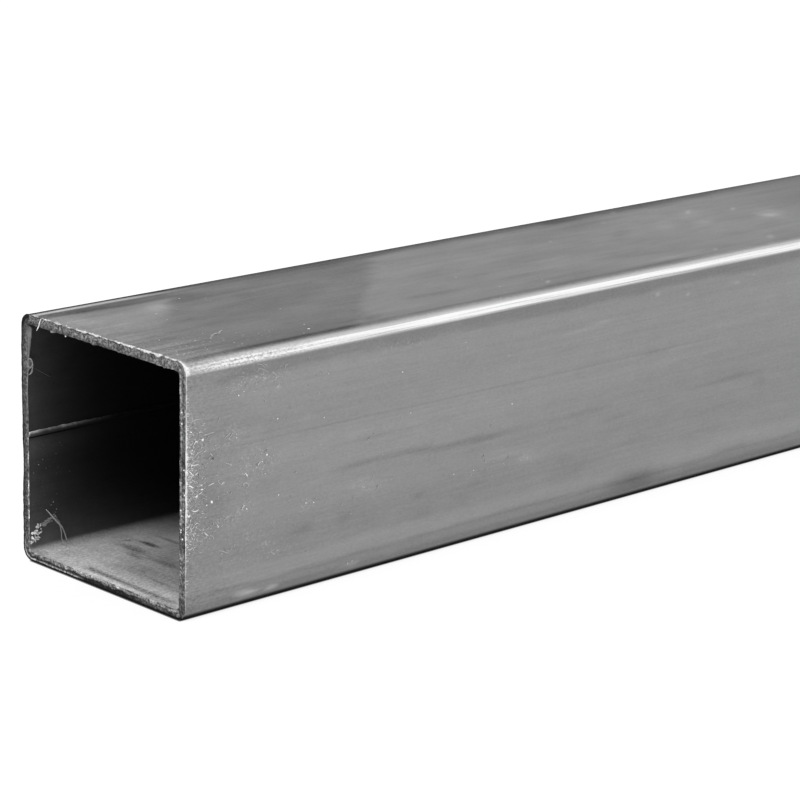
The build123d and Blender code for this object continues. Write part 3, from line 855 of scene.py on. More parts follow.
    for _ in range(88):
        t = rng.random() ** 1.1
        x = 0.15 + 2.1 * t + rng.gauss(0, 0.20)
        z = 2.9 + 2.0 * t + rng.gauss(0, 0.50 + 0.15 * t)
        if x > 0.1 and z > 2.0:
            size = rng.uniform(0.06, 0.20) * (1.15 - 0.3 * t)
            if rng.random() < 0.20:
                wall_in(x, z, size, rng.uniform(0.5, 1.0), rng.uniform(0.9, 2.2), rng.uniform(0.5, 1.2))
            else:
                # little plates that stand off the wall and face the open end
                chip(m, rng, (near + x, inner - 0.7 * size, z), (0.35, -0.93, 0), (0.0, 0.3, 0.95), (0.93, 0.35, 0), size, 0.30, rng.uniform(1.0, 1.7), BURR, rng.uniform(0.5, 1.0) ** 0.5)
    for _ in range(120):
        t = rng.random()
        wall_in(2.2 + 3.0 * t + rng.gauss(0, 0.2), 5.1 + 1.3 * t + rng.gauss(0, 0.24), rng.uniform(0.05, 0.11), rng.uniform(0.2, 0.5), 1.7, 0.4)
    for x, z, size in ((4.8, 8.7, 0.11), (4.4, 8.3, 0.07), (5.4, 7.4, 0.08), (2.0, 15.4, 0.07), (2.8, 16.1, 0.06), (1.0, 14.2, 0.06), (3.4, 14.6, 0.05)):
        wall_in(x, z, size, 0.6)
    for _ in range(46):
        wall_in(abs(rng.gauss(0, 4)) + 0.3, rng.uniform(6, 19), rng.uniform(0.02, 0.05), rng.uniform(0.1, 0.4), 1.5, 0.3)
    strand(m, [(near + 1.34, inner - 0.02, 31.2), (near + 2.9, inner - 0.04, 30.25), (near + 4.5, inner - 0.02, 29.25)], 0.05, BURR, 0.05, taper=0.7)
    y = inner - 0.10
    strand(m, [(near + 3.3, y, 7.75), (near + 4.04, y - 0.1, 6.92), (near + 5.02, y - 0.12, 5.72), (near + 5.80, y - 0.08, 4.89), (near + 6.39, y - 0.05, 4.2), (near + 6.98, y, 2.98), (near + 7.37, y, 1.8), (near + 7.5, y - 0.5, 1.54)],
           0.13, BURR, 0.60, taper=0.55)
    strand(m, [(near + 5.3, y - 0.04, 5.4), (near + 5.80, y - 0.1, 4.9), (near + 6.19, y - 0.08, 3.64), (near + 6.37, y, 2.3), (near + 6.6, y - 0.3, 1.55), (near + 6.0, 16.8, 1.54), (near + 5.4, 16.1, 1.54)], 0.10, BURR, 0.42, taper=0.6)
    strand(m, [(near + 4.6, y - 0.06, 6.3), (near + 5.4, y - 0.05, 5.7), (near + 6.1, y - 0.05, 4.9)], 0.16, BURR, 0.20, taper=0.7)

    # a few more curls on the front side, a small pit, and a thicker dusting of the finest bits by the middle of the cut
    for points, radius, bare in (
            (((4.35, 20.55), (4.85, 20.67), (5.57, 20.80)), 0.08, 0.50), (((6.30, 21.01), (6.42, 20.70), (6.9, 20.3), (7.40, 20.18), (7.48, 20.49)), 0.055, 0.40),
            (((11.11, 19.10), (11.34, 19.56), (11.95, 19.53), (12.25, 19.08), (11.9, 18.8)), 0.07, 0.40), (((14.05, 21.79), (14.28, 22.13), (14.66, 22.35)), 0.08, 0.48),
            (((4.72, 25.52), (4.95, 25.30), (5.15, 25.08)), 0.08, 0.50), (((8.3, 27.3), (8.7, 27.5), (9.2, 28.1)), 0.06, 0.36)):
        sliver(points, radius, bare)
    for x, z, size, bare in ((5.30, 24.66, 0.20, 0.0), (6.35, 20.95, 0.12, 0.55), (7.42, 20.45, 0.14, 0.6), (9.85, 27.55, 0.17, 0.5), (7.35, 27.75, 0.12, 0.45), (3.1, 20.9, 0.12, 0.8),
                             (1.2, 26.1, 0.12, 0.9), (1.25, 28.0, 0.10, 0.6), (8.75, 23.0, 0.14, 0.55), (6.2, 24.9, 0.09, 0.5), (33.0, 2.3, 0.14, 0.45), (33.9, 2.5, 0.12, 0.42)):
        front(x, z, size, bare)
    for _ in range(160):
        x, z = 0.25 + abs(rng.gauss(0, 2.2)), rng.gauss(24.0, 4.2)
        if x < 6.5 and 15 < z < 32:
            front(x, z, rng.uniform(0.045, 0.090), rng.choice((0.02, 0.5, 0.7)) * (0.75 + 0.45 * math.exp(-x / 2.0)), rng.uniform(1.0, 2.0), 0.3)
    for _ in range(85):
        x, z = 0.3 + abs(rng.gauss(0, 2.0)), rng.gauss(23.0, 4.2)
        turn, size, bend = rng.uniform(-0.6, 0.8), rng.uniform(0.14, 0.32), rng.uniform(-0.5, 0.5)
        if x < 6.0 and 15 < z < 32:
            c, q = math.cos(turn) * size, math.sin(turn) * size
            sliver([(x - c, z - q), (x - bend * q, z + bend * c), (x + c, z + q)], rng.uniform(0.03, 0.05), rng.uniform(0.35, 0.75) * (0.7 + 0.4 * math.exp(-x / 2.0)), 3, 3)


def tube_mesh():
    m = Mesh()
    body(m)
    bead(m)
    burr_details(m)
    return m


# ---------------------------------------------------------------------------
# Materials
# ---------------------------------------------------------------------------
class Nodes:
    """Short names for building a shader out of nodes."""

    def __init__(self, mat):
        mat.use_nodes = True
        self.t = mat.node_tree
        self.t.nodes.clear()
        self.out = self.t.nodes.new("ShaderNodeOutputMaterial")
        self.bsdf = self.t.nodes.new("ShaderNodeBsdfPrincipled")
        self.link(self.bsdf.outputs[0], self.out.inputs["Surface"])

    def link(self, a, b):
        self.t.links.new(a, b)

    def put(self, socket, v):
        if hasattr(v, "is_linked") or hasattr(v, "links"):
            self.link(v, socket)
        elif v is not None:
            socket.default_value = v

    def math(self, op, a, b=None, c=None, clamp=False):
        n = self.t.nodes.new("ShaderNodeMath")
        n.operation = op
        n.use_clamp = clamp
        for s, v in zip(n.inputs, (a, b, c)):
            self.put(s, v)
        return n.outputs[0]

    def add(self, *v):
        r = v[0]
        for x in v[1:]:
            r = self.math("ADD", r, x)
        return r

    def mul(self, *v):
        r = v[0]
        for x in v[1:]:
            r = self.math("MULTIPLY", r, x)
        return r

    def sub(self, a, b):
        return self.math("SUBTRACT", a, b)

    def mad(self, a, b, c):
        return self.math("MULTIPLY_ADD", a, b, c)

    def most(self, a, b):
        return self.math("MAXIMUM", a, b)

    def least(self, a, b):
        return self.math("MINIMUM", a, b)

    def absolute(self, a):
        return self.math("ABSOLUTE", a)

    def ramp(self, v, a, b, lo=0.0, hi=1.0):
        """Smooth step from lo at a to hi at b."""
        n = self.t.nodes.new("ShaderNodeMapRange")
        n.interpolation_type = "SMOOTHSTEP"
        n.clamp = True
        self.put(n.inputs["Value"], v)
        if a > b:
            a, b, lo, hi = b, a, hi, lo
        n.inputs["From Min"].default_value, n.inputs["From Max"].default_value = a, b
        n.inputs["To Min"].default_value, n.inputs["To Max"].default_value = lo, hi
        return n.outputs["Result"]

    def band(self, v, a, b, soft):
        """1 between a and b, with soft edges."""
        return self.mul(self.ramp(v, a - soft, a + soft), self.ramp(v, b + soft, b - soft))

    def bump_at(self, v, centre, wide):
        """A soft hump of half width wide round centre."""
        d = self.absolute(self.sub(v, centre))
        return self.ramp(d, wide, 0.0)

    def vec(self, x, y, z):
        n = self.t.nodes.new("ShaderNodeCombineXYZ")
        for s, v in zip(n.inputs, (x, y, z)):
            self.put(s, v)
        return n.outputs[0]

    def stretch(self, vector, sx, sy, sz, ox=0.0, oy=0.0, oz=0.0):
        n = self.t.nodes.new("ShaderNodeMapping")
        n.vector_type = "POINT"
        self.put(n.inputs["Vector"], vector)
        n.inputs["Scale"].default_value = (sx, sy, sz)
        n.inputs["Location"].default_value = (ox, oy, oz)
        return n.outputs[0]

    def noise(self, vector, scale=1.0, detail=2.0, rough=0.5, distort=0.0):
        n = self.t.nodes.new("ShaderNodeTexNoise")
        self.put(n.inputs["Vector"], vector)
        n.inputs["Scale"].default_value = scale
        n.inputs["Detail"].default_value = detail
        n.inputs["Roughness"].default_value = rough
        n.inputs["Distortion"].default_value = distort
        return n.outputs["Fac"]

    def voronoi(self, vector, scale=1.0, feature="F1"):
        n = self.t.nodes.new("ShaderNodeTexVoronoi")
        n.feature = feature
        self.put(n.inputs["Vector"], vector)
        n.inputs["Scale"].default_value = scale
        return n

    def attr(self, name):
        n = self.t.nodes.new("ShaderNodeAttribute")
        n.attribute_name = name
        return n.outputs["Fac"]

    def mix(self, f, a, b):
        n = self.t.nodes.new("ShaderNodeMix")
        n.data_type = "FLOAT"
        self.put(n.inputs[0], f)
        self.put(n.inputs[2], a)
        self.put(n.inputs[3], b)
        return n.outputs[0]

    def grey(self, v):
        n = self.t.nodes.new("ShaderNodeCombineColor")
        for s in n.inputs[:3]:
            self.put(s, v)
        return n.outputs[0]

    def bump(self, height, distance, strength=1.0, normal=None):
        n = self.t.nodes.new("ShaderNodeBump")
        n.inputs["Strength"].default_value = strength
        n.inputs["Distance"].default_value = distance
        self.put(n.inputs["Height"], height)
        if normal is not None:
            self.link(normal, n.inputs["Normal"])
        return n.outputs[0]

    def colour_noise(self, vector, scale=1.0, detail=1.0):
        n = self.t.nodes.new("ShaderNodeTexNoise")
        self.put(n.inputs["Vector"], vector)
        n.inputs["Scale"].default_value = scale
        n.inputs["Detail"].default_value = detail
        return n.outputs["Color"]

    def vmath(self, op, a, b=None, scale=None):
        n = self.t.nodes.new("ShaderNodeVectorMath")
        n.operation = op
        self.put(n.inputs[0], a)
        if b is not None:
            self.put(n.inputs[1], b)
        if scale is not None:
            self.put(n.inputs["Scale"], scale)
        return n.outputs["Value"] if op in ("LENGTH", "DOT_PRODUCT", "DISTANCE") else n.outputs["Vector"]

    def patch(self, plane, cu, cv, ru, rv, turn=0.0, hard=0.0):
        """A soft oval of radii ru, rv round (cu, cv) in a plane; sizes in tube widths, turn in degrees."""
        n = self.t.nodes.new("ShaderNodeMapping")
        n.vector_type = "TEXTURE"
        self.put(n.inputs["Vector"], plane)
        n.inputs["Location"].default_value = (cu * WIDTH, cv * WIDTH, 0)
        n.inputs["Rotation"].default_value = (0, 0, math.radians(turn))
        n.inputs["Scale"].default_value = (ru * WIDTH, rv * WIDTH, 1)
        return self.ramp(self.vmath("LENGTH", n.outputs[0]), 1.0, hard)

    def patches(self, plane, spots):
        """Sum of soft ovals, each (cu, cv, ru, rv, turn, amount[, hard])."""
        total = None
        for q in spots:
            m = self.patch(plane, q[0], q[1], q[2], q[3], q[4], q[6] if len(q) > 6 else 0.0)
            total = self.mad(m, q[5], total if total is not None else 0.0)
        return total

    def place(self):
        """Object coordinates in mm: distance from the near cut, Y and height."""
        n = self.t.nodes.new("ShaderNodeTexCoord")
        v = n.outputs["Object"]
        sep = self.t.nodes.new("ShaderNodeSeparateXYZ")
        self.link(v, sep.inputs[0])
        x = self.mad(sep.outputs[0], 1000.0, HALF)
        y = self.mul(sep.outputs[1], 1000.0)
        z = self.mul(sep.outputs[2], 1000.0)
        return x, y, z, self.vec(x, y, z)


def outer_steel(edge=False):
    """The rolled skin; edge makes the dull material of the two corners that turn away from the light, painted dark as
    painted shade.
    """
    mat = bpy.data.materials.new("dull_shaded_corner" if edge else "mill_steel")
    g = Nodes(mat)
    x, y, z, p = g.place()
    end = g.least(x, g.sub(2 * HALF, x))
    W = WIDTH

    # --- texture that runs all over: rolling lines, mottling and grain
    lines = g.noise(g.stretch(p, 0.020, 1.1, 1.1), 1.0, 4.0, 0.62)
    fine = g.noise(g.stretch(p, 0.16, 5.5, 5.5), 1.0, 2.0, 0.6)
    broad = g.noise(g.stretch(p, 0.012, 0.13, 0.13, 3.0), 1.0, 2.0, 0.5)
    mottle = g.noise(g.stretch(p, 0.22, 0.34, 0.34), 1.0, 4.0, 0.65, 0.5)
    grain = g.noise(g.stretch(p, 1.5, 2.6, 2.6), 1.0, 3.0, 0.75)
    # a few darker streaks, drawn out along the tube
    streaks = g.noise(g.stretch(p, 0.011, 0.42, 0.42, 5.0, 1.7, 2.2), 1.0, 2.0, 0.5)
    dark_streak = g.ramp(streaks, 0.60, 0.74)
    pale_streak = g.ramp(g.noise(g.stretch(p, 0.05, 0.9, 0.9, 1.0, 4.0, 7.0), 1.0, 2.0, 0.5), 0.66, 0.78)
    specks = g.ramp(g.noise(g.stretch(p, 0.8, 1.3, 1.3, 9.0), 1.0, 1.0, 0.5), 0.745, 0.80)

    # how near a sawn end is: rougher ground there
    close = g.ramp(end, 16.0, 1.0)
    very_close = g.ramp(end, 4.5, 0.2)
    mess = g.add(1.0, g.mul(close, 1.1))
    tone = g.add(g.mul(g.sub(lines, 0.5), 0.22), g.mul(g.sub(fine, 0.5), g.mul(mess, 0.20)), g.mul(g.sub(broad, 0.5), 0.22),
                 g.mul(g.sub(mottle, 0.5), g.mul(mess, 0.20)), g.mul(g.sub(grain, 0.5), g.add(g.mul(mess, 0.42), g.mul(very_close, 0.55))), g.mul(pale_streak, 0.06), g.mul(specks, 0.22))

    # on the top the brushing shows coarser
    on_top = g.ramp(z, 38.9, 39.3)
    top_grain = g.noise(g.stretch(p, 1.3, 1.9, 1.9, 4.0), 1.0, 3.0, 0.8)
    top_lines = g.noise(g.stretch(p, 0.05, 0.7, 0.7, 8.0), 1.0, 3.0, 0.6)
    tone = g.add(tone, g.mul(on_top, g.add(g.mul(g.sub(top_grain, 0.5), g.mad(close, 0.75, 0.42)), g.mul(g.sub(top_lines, 0.5), 0.26))))

    back = g.ramp(y, 18.9, 19.3)
    # thin lines drawn along the front side
    front = g.ramp(y, -18.9, -19.3)
    hair = g.add(g.mul(g.bump_at(z, 25.72, 0.28), g.band(x, 9.0, 40.0, 6.0)), g.mul(g.bump_at(g.mad(x, 0.003, z), 25.63, 0.30), g.band(x, 40.0, 118.0, 8.0)))

    # small pale spots, as of dried drops, on the top and the front side, and scuffs by the foot
    spots = g.mul(g.patches(g.vec(x, y, 0.0), ((3.596, 0.203, 0.080, 0.022, 37, 0.45), (3.820, 0.121, 0.065, 0.020, 37, 0.48), (3.469, -0.3925, 0.070, 0.030, 37, 0.42), (3.065, -0.4145, 0.045, 0.018, 37, 0.42),
                                               (2.024, -0.3955, 0.045, 0.018, 37, 0.62), (3.289, 0.393, 0.045, 0.024, 37, 0.30), (3.095, 0.274, 0.040, 0.018, 37, 0.26), (2.608, 0.144, 0.040, 0.016, 37, 0.30),
                                               (3.840, -0.068, 0.090, 0.062, -37, 0.24))), on_top)
    spots = g.mad(g.patches(g.vec(x, z, 0.0), ((2.5985, 0.882, 0.024, 0.018, 0, 0.28), (2.795, 0.8535, 0.022, 0.014, 0, 0.28), (3.124, 0.858, 0.030, 0.012, 0, 0.18),
                                               (0.280, 0.056, 0.070, 0.018, 0, 0.30, 0.2), (0.330, 0.053, 0.040, 0.013, 0, 0.20, 0.2), (0.430, 0.048, 0.055, 0.015, 0, 0.50, 0.2))), g.ramp(y, -19.0, -19.4), spots)

    # --- back and underside: seam line and scuffs
    seam = g.mul(g.add(g.mul(g.bump_at(z, BEAD_Z, 1.0), 0.18), g.mul(g.bump_at(z, BEAD_Z + 1.3, 0.9), -0.14), g.mul(g.bump_at(z, BEAD_Z - 1.4, 1.0), -0.12)), back)
    scuff = g.mul(g.ramp(g.noise(g.stretch(p, 0.03, 0.6, 0.6, 11.0), 1.0, 4.0, 0.7), 0.56, 0.72), 0.24)
    hidden = g.most(back, g.ramp(z, 1.1, 0.7))
    rest = g.mul(g.add(g.mul(dark_streak, -0.18), scuff), hidden)
    total = g.add(1.0, tone, g.attr("tone"), seam, rest, spots, g.mul(g.mul(hair, front), -0.10))

    # --- curls and crumbs too fine to model
    curl_n = g.noise(g.stretch(p, 1.0, 1.0, 1.0, 4.0), 0.85, 1.0, 0.5, 0.8)
    curl = g.ramp(g.absolute(g.sub(curl_n, 0.5)), 0.020, 0.004)
    crumb = g.ramp(g.noise(g.stretch(p, 2.3, 2.3, 2.3, 1.0), 1.0, 1.0, 0.6), 0.64, 0.70)
    picks = g.ramp(g.noise(g.stretch(p, 0.6, 0.6, 0.6, 3.3), 1.0, 1.0, 0.5), 0.42, 0.60)
    fleck = g.math("MULTIPLY", g.most(g.mul(curl, picks), crumb), g.attr("fleck"), clamp=True)

    # --- the rolled corner over the front side: a painted highlight, laid on as a brighter, partly burnished band with fine lines along it; the dark line where it meets the top is painted shade in the tone
    ay = g.sub(g.absolute(y), 18.0)
    az = g.sub(g.absolute(g.sub(z, 20.0)), 18.0)
    # how far round the corner, from 0 on the upright flat to 4 on the level one
    s_round = g.add(az, g.sub(2.0, ay))
    is_corner = g.mul(g.ramp(ay, -0.9, -0.2), g.ramp(az, -0.9, -0.2))
    front_top = g.mul(g.ramp(y, -15.0, -17.0), g.ramp(z, 30.0, 34.0))
    roll = g.noise(g.stretch(p, 0.030, 3.4, 3.4, 6.0), 1.0, 2.0, 0.7)
    roll2 = g.noise(g.stretch(p, 2.2, 3.4, 3.4, 2.0), 1.0, 2.0, 0.7)
    core = g.ramp(s_round, 1.95, 1.60)
    highlight_and_burnish = g.mul(g.ramp(s_round, -0.20, 0.50), g.most(g.mul(core, 0.90), g.ramp(s_round, 3.15, 1.75, 0.0, 0.46)))
    highlight_and_burnish = g.mul(highlight_and_burnish, g.add(1.0, g.mul(g.sub(roll, 0.5), g.mad(core, 2.3, 0.6)), g.mul(g.sub(roll2, 0.5), g.ramp(end, 38.0, 4.0, 0.40, 3.2))))
    highlight_and_burnish = g.add(g.mul(highlight_and_burnish, g.ramp(end, 0.4, 11.0, 0.50, 1.0)), g.mul(g.ramp(end, 1.1, 0.2), g.ramp(s_round, -0.3, 0.3), g.mad(roll2, 1.3, -0.10)))
    highlight_and_burnish = g.mul(g.mix(front_top, 0.0, highlight_and_burnish), is_corner)

    bare = g.attr("bare")
    base = g.mul(total, 0.262)
    base = g.mix(g.math("MULTIPLY", highlight_and_burnish, 1.0, clamp=True), base, 0.80)
    # painted shade: a dark line by the back corner and round the foot, in place of dark reflections and the contact
    # shadow there
    back_top = g.ramp(g.add(y, g.ramp(x, 12.0, 38.0, -0.62, 0.0)), 16.7, 17.30)
    by_end = g.mul(g.ramp(x, 35.0, 110.0, 0.66, 0.50), g.ramp(x, 45.0, 15.0, 1.0, 1.48))
    back_top = g.mul(back_top, g.ramp(z, 37.0, 38.0), by_end, g.ramp(x, 155.0, 230.0, 1.0, 0.6))
    if edge:
        # over the edge the painted shade is thicker, and thins out again down the back
        over = g.mul(g.ramp(y, 17.8, 18.15), g.ramp(z, 38.4, 39.4, 0.30, 1.0), g.ramp(z, 20.0, 21.0), g.ramp(x, 155.0, 230.0, 1.0, 0.50))
        foot = g.ramp(z, 1.36, 0.64, 0.08, 0.985)
        foot = g.mul(foot, g.ramp(z, 21.0, 20.0))
        painted_shade = g.math("ADD", g.most(back_top, g.mul(over, 0.95)), foot, clamp=True)
        base = g.mul(base, g.sub(1.0, painted_shade), 0.95)
        g.link(g.grey(g.math("MAXIMUM", base, 0.004)), g.bsdf.inputs["Base Color"])
        g.bsdf.inputs["Metallic"].default_value = 0.0
        g.bsdf.inputs["Specular IOR Level"].default_value = 0.03
        g.link(g.add(0.60, g.mul(g.sub(mottle, 0.5), 0.15)), g.bsdf.inputs["Roughness"])
        g.link(g.bump(g.add(g.mul(lines, 0.5), g.mul(grain, 0.35)), 0.00005, 0.5), g.bsdf.inputs["Normal"])
        return mat
    painted_shade = back_top
    # painted shade: darker over the lowest 3 mm, towards the foot
    base = g.mul(base, g.sub(1.0, painted_shade), g.ramp(z, 2.9, 1.9, 1.0, 0.88))
    light = g.math("MAXIMUM", bare, g.mul(fleck, 0.55), clamp=True)
    base = g.mix(light, base, 0.90)
    g.link(g.grey(g.math("MAXIMUM", base, 0.012)), g.bsdf.inputs["Base Color"])
    g.link(g.math("MULTIPLY", g.sub(1.0, g.mul(light, 0.92)), g.sub(1.0, g.mul(painted_shade, 0.95)), clamp=True), g.bsdf.inputs["Metallic"])
    rough = g.add(0.37, g.mul(g.sub(mottle, 0.5), 0.12), g.mul(g.sub(fine, 0.5), 0.10), g.mul(highlight_and_burnish, -0.05), g.mul(close, 0.06), g.mul(light, 0.1), g.mul(painted_shade, 0.4))
    g.link(rough, g.bsdf.inputs["Roughness"])
    g.bsdf.inputs["Specular Tint"].default_value = (0.6, 0.6, 0.6, 1)
    h = g.add(g.mul(lines, 0.5), g.mul(fine, 0.45), g.mul(grain, g.mul(mess, 0.35)), g.mul(fleck, 0.4))
    g.link(g.bump(h, 0.00005, 0.55), g.bsdf.inputs["Normal"])
    return mat


def inner_steel():
    mat = bpy.data.materials.new("bore_steel")
    g = Nodes(mat)
    x, y, z, p = g.place()
    end = g.least(x, g.sub(2 * HALF, x))
    lines = g.noise(g.stretch(p, 0.05, 1.6, 1.6), 1.0, 3.0, 0.6)
    mottle = g.noise(g.stretch(p, 0.30, 0.45, 0.45), 1.0, 4.0, 0.65, 0.6)
    grain = g.noise(p, 2.6, 3.0, 0.75)
    tone = g.add(1.0, g.mul(g.sub(lines, 0.5), 0.30), g.mul(g.sub(mottle, 0.5), 0.50), g.mul(g.sub(grain, 0.5), 0.55))

    # painted shade: the walls are dark, darker further in; low on them near the mouth, painted light bounced off the
    # pale-painted floor of the bore
    e = 2.71828
    low = g.ramp(z, 16.0, 2.0)
    depth_shade = g.math("POWER", e, g.mul(end, g.mix(low, -0.195, -0.078)))
    walls = g.mad(depth_shade, g.mix(low, 0.080, 0.10), 0.006)
    haze = g.mul(g.bump_at(z, 18.4, 2.6), g.mul(depth_shade, 0.045))
    floor_bounce = g.mul(g.math("POWER", e, g.mul(g.sub(z, 1.5), -0.55)), g.math("POWER", e, g.mul(end, -0.06)), 0.20)
    walls = g.add(walls, haze, floor_bounce)
    # painted shadow under the seam bead
    bead_shadow = g.mul(g.bump_at(z, BEAD_Z - 0.62, 0.24), g.ramp(y, 18.0, 18.3), g.ramp(end, 16.0, 6.0))
    walls = g.mul(walls, g.sub(1.0, g.mul(bead_shadow, 0.95)))

    shift = g.vmath("SCALE", g.vmath("SUBTRACT", g.colour_noise(g.stretch(p, 0.25, 0.12, 0.12), 1.0, 3.0), (0.5, 0.5, 0.5)), scale=1.5)
    q = g.vmath("ADD", p, shift)
    sep = g.t.nodes.new("ShaderNodeSeparateXYZ")
    g.link(q, sep.inputs[0])
    plane = g.vec(sep.outputs[0], sep.outputs[1], 0.0)
    marks = g.patches(plane, ((0.415, 0.225, 0.024, 0.095, 4, -0.80, 0.2),
                              (0.380, 0.322, 0.055, 0.018, -14, -0.45), (0.334, 0.225, 0.040, 0.15, 0, -0.62, 0.1), (0.283, 0.155, 0.030, 0.09, -8, -0.45), (0.513, 0.19, 0.022, 0.12, 6, -0.50),
                              (0.315, -0.01, 0.030, 0.18, 6, -0.40), (0.16, -0.17, 0.012, 0.10, 0, -0.30), (0.10, 0.35, 0.06, 0.05, 0, -0.12), (0.03, 0.42, 0.05, 0.05, 0, -0.22), (0.07, 0.27, 0.04, 0.03, 0, 0.14),
                              (0.20, 0.00, 0.05, 0.10, 0, -0.10), (0.52, 0.30, 0.04, 0.10, 0, -0.15), (0.018, 0.02, 0.020, 0.5, 0, 0.16)))
    # a groove scored across it just inside the lip
    marks = g.add(marks, g.mul(g.bump_at(g.mad(y, -0.021, x), 2.02, 1.12), g.band(y, -15.5, 6.3, 1.4), -0.56))
    floor_grain = g.noise(g.stretch(p, 1.9, 1.9, 1.9, 5.0), 1.0, 3.0, 0.9)
    cross = g.noise(g.stretch(p, 0.55, 0.10, 0.10, 3.0), 1.0, 3.0, 0.6)
    floor_tone = g.add(tone, g.mul(marks, g.ramp(x, 60.0, 30.0)), g.mul(g.sub(cross, 0.5), 0.55), g.mul(g.sub(floor_grain, 0.5), g.ramp(end, 30.0, 2.0, 0.9, 2.0)))
    # painted light: the floor of the bore is pale by the mouth, where the light falls in, and fades further in
    floor_level = g.mul(g.mad(g.math("POWER", e, g.mul(end, -0.030)), 0.64, 0.03), floor_tone)
    # painted shade: it darkens towards the seam wall, more so deeper in, towards the front wall, and at both ends of
    # the cut
    by_wall = g.mul(g.math("POWER", e, g.mul(g.sub(18.5, y), -0.77)), g.least(g.mad(end, 0.026, 0.10), 0.75))
    by_front = g.mul(g.ramp(y, 10.5, -1.5), g.ramp(end, 3.0, 6.5), 0.36)
    by_front = g.most(by_front, g.mul(g.ramp(y, -12.0, -18.0), g.ramp(end, 0.8, 3.0), 0.45))
    by_cut = g.mul(g.ramp(end, 1.7, 0.2), g.ramp(g.absolute(y), 6.0, 14.0), 0.32)
    floor_level = g.mul(floor_level, g.sub(1.0, by_wall), g.sub(1.0, by_front), g.sub(1.0, by_cut), g.add(1.0, g.mul(g.band(end, 18.0, 25.0, 4.0), 0.28)))
    on_floor = g.ramp(z, 2.25, 1.56)
    base = g.mix(on_floor, g.mul(walls, tone), floor_level)
    bare = g.attr("bare")
    base = g.mix(bare, base, 0.85)
    g.link(g.grey(g.math("MAXIMUM", base, 0.004)), g.bsdf.inputs["Base Color"])
    g.link(g.add(0.62, g.mul(g.sub(mottle, 0.5), 0.2)), g.bsdf.inputs["Roughness"])
    g.bsdf.inputs["Metallic"].default_value = 0.0
    g.bsdf.inputs["Specular IOR Level"].default_value = 0.07
    g.link(g.bump(g.add(g.mul(mottle, 0.6), g.mul(grain, 0.4)), 0.00008, 0.6), g.bsdf.inputs["Normal"])
    return mat


def cut_steel():
    mat = bpy.data.materials.new("sawn_steel")
    g = Nodes(mat)
    x, y, z, p = g.place()
    grain = g.noise(p, 2.5, 3.0, 0.85)
    tone = g.ramp(grain, 0.36, 0.64, 0.25, 1.80)
    base = g.mul(g.attr("level"), tone)
    base = g.mix(g.attr("bare"), base, 0.92)
    g.link(g.grey(g.math("MAXIMUM", base, 0.006)), g.bsdf.inputs["Base Color"])
    g.link(g.add(0.5, g.mul(g.sub(grain, 0.5), 0.2)), g.bsdf.inputs["Roughness"])
    g.bsdf.inputs["Metallic"].default_value = 0.0
    g.bsdf.inputs["Specular IOR Level"].default_value = 0.08
    g.link(g.bump(grain, 0.00010, 0.8), g.bsdf.inputs["Normal"])
    return mat


def burr_steel():
    mat = bpy.data.materials.new("bare_burr")
    g = Nodes(mat)
    x, y, z, p = g.place()
    grain = g.noise(p, 6.0, 2.0, 0.6)
    level = g.mix(g.attr("bare"), 0.10, 0.97)
    g.link(g.grey(g.mul(level, g.mad(grain, 0.4, 0.80))), g.bsdf.inputs["Base Color"])
    g.link(g.mad(grain, 0.2, 0.30), g.bsdf.inputs["Roughness"])
    g.bsdf.inputs["Metallic"].default_value = 0.0
    g.bsdf.inputs["Specular IOR Level"].default_value = 0.25
    return mat


# ---------------------------------------------------------------------------
# Build the piece
# ---------------------------------------------------------------------------
data = tube_mesh().build("steel_tube", [outer_steel(), inner_steel(), cut_steel(), burr_steel(), outer_steel(edge=True)])
tube = bpy.data.objects.new("steel_tube", data)
scene.collection.objects.link(tube)
data.set_sharp_from_angle(angle=math.radians(40))
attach(tube, "root")
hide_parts("square_tube")

# ---------------------------------------------------------------------------
# Floor, light and camera
# ---------------------------------------------------------------------------
floor_data = bpy.data.meshes.new("floor")
S = 14.0
floor_data.from_pydata([(-S, -S, 0), (S, -S, 0), (S, S, 0), (-S, S, 0)], [], [(0, 1, 2, 3)])
floor = bpy.data.objects.new("floor", floor_data)
scene.collection.objects.link(floor)
fm = bpy.data.materials.new("pale_floor")
fg = Nodes(fm)
# a white light table: partly lit from below, so that the shadows on it stay faint
fg.bsdf.inputs["Base Color"].default_value = (0.14, 0.14, 0.14, 1)
fg.bsdf.inputs["Roughness"].default_value = 0.9
fg.bsdf.inputs["Specular IOR Level"].default_value = 0.1
fg.bsdf.inputs["Emission Color"].default_value = (1, 1, 1, 1)
fx, fy, fz, fp = fg.place()
# painted contact shadow: the floor's emission stops in a thin strip round the tube's footprint
out_y = fg.ramp(fg.most(fg.mul(fy, -1.0), fg.add(fy, 0.8)), 18.80, 19.30)
out_x = fg.ramp(fg.absolute(fg.sub(fx, HALF)), HALF + 0.05, HALF + 0.42)
fg.link(fg.mul(fg.math("ADD", out_x, out_y, clamp=True), 0.88), fg.bsdf.inputs["Emission Strength"])
floor_data.materials.append(fm)


def softbox(name, at, aim, size, size_y, watts):
    light = bpy.data.lights.new(name, "AREA")
    light.shape = "RECTANGLE"
    light.size, light.size_y = size, size_y
    light.energy = watts
    ob = bpy.data.objects.new(name, light)
    scene.collection.objects.link(ob)
    ob.location = at
    ob.rotation_mode = "QUATERNION"
    ob.rotation_quaternion = (Vector(aim) - Vector(at)).to_track_quat("-Z", "Y")
    return ob


softbox("key_front", (-1.95, -0.05, 2.15), (-0.48, 0, 0), 1.3, 1.3, 42)
softbox("overhead", (0.2, 0.3, 3.2), (0, 0, 0), 3.5, 3.5, 34)

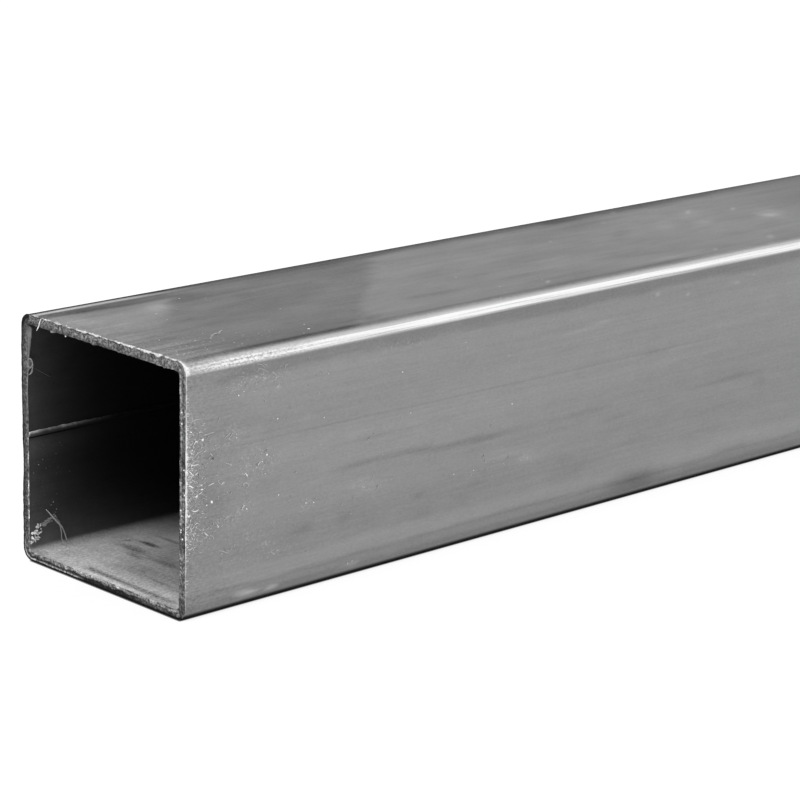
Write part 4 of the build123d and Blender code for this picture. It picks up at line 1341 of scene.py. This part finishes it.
# A pale studio all round, brighter beyond the tube and brightest on the camera's right
world = bpy.data.worlds.new("studio")
scene.world = world
world.use_nodes = True
wt = world.node_tree
wt.nodes.clear()
bg = wt.nodes.new("ShaderNodeBackground")
wo = wt.nodes.new("ShaderNodeOutputWorld")
wt.links.new(bg.outputs[0], wo.inputs[0])
wc = wt.nodes.new("ShaderNodeTexCoord")


def glow_towards(direction, start, full, amount, plus):
    v = Vector(direction).normalized()
    dot = wt.nodes.new("ShaderNodeVectorMath")
    dot.operation = "DOT_PRODUCT"
    wt.links.new(wc.outputs["Generated"], dot.inputs[0])
    dot.inputs[1].default_value = v
    r = wt.nodes.new("ShaderNodeMapRange")
    r.interpolation_type = "SMOOTHSTEP"
    wt.links.new(dot.outputs["Value"], r.inputs["Value"])
    r.inputs["From Min"].default_value, r.inputs["From Max"].default_value = start, full
    r.inputs["To Min"].default_value, r.inputs["To Max"].default_value = 0.0, amount
    n = wt.nodes.new("ShaderNodeMath")
    n.operation = "ADD"
    wt.links.new(r.outputs["Result"], n.inputs[0])
    if isinstance(plus, float):
        n.inputs[1].default_value = plus
    else:
        wt.links.new(plus, n.inputs[1])
    return n.outputs[0]


strength = glow_towards((0.67, 0.69, 0.26), 0.25, 1.0, 0.62, 0.28)
strength = glow_towards((0.67, -0.64, 0.36), 0.55, 0.95, 0.95, strength)
wt.links.new(strength, bg.inputs["Strength"])
bg.inputs["Color"].default_value = (1, 1, 1, 1)

# The camera stands where the photograph's did: seen from the near end, to the -Y side and above
YAW, PITCH, ROLL = 0.80215, 0.26672, 0.02403
forward = Vector((math.cos(PITCH) * math.cos(YAW), math.cos(PITCH) * math.sin(YAW), -math.sin(PITCH)))
right = forward.cross(Vector((0, 0, 1))).normalized()
up = right.cross(forward)
right2 = math.cos(ROLL) * right + math.sin(ROLL) * up
up2 = -math.sin(ROLL) * right + math.cos(ROLL) * up
cam_data = bpy.data.cameras.new("camera")
cam = bpy.data.objects.new("camera", cam_data)
scene.collection.objects.link(cam)
cam.matrix_world = Matrix((
    (right2.x, up2.x, -forward.x, -6.5784 * WIDTH * MM - HALF * MM),
    (right2.y, up2.y, -forward.y, -8.42874 * WIDTH * MM),
    (right2.z, up2.z, -forward.z, 3.6893 * WIDTH * MM),
    (0, 0, 0, 1)))
cam_data.sensor_fit = "HORIZONTAL"
cam_data.sensor_width = 36.0
cam_data.lens = 2916.6 / 800 * 36.0
cam_data.clip_start, cam_data.clip_end = 0.01, 100
scene.camera = cam

scene.view_settings.view_transform = "Standard"
scene.view_settings.look = "None"
scene.view_settings.exposure = 0.0
scene.view_settings.gamma = 1.0
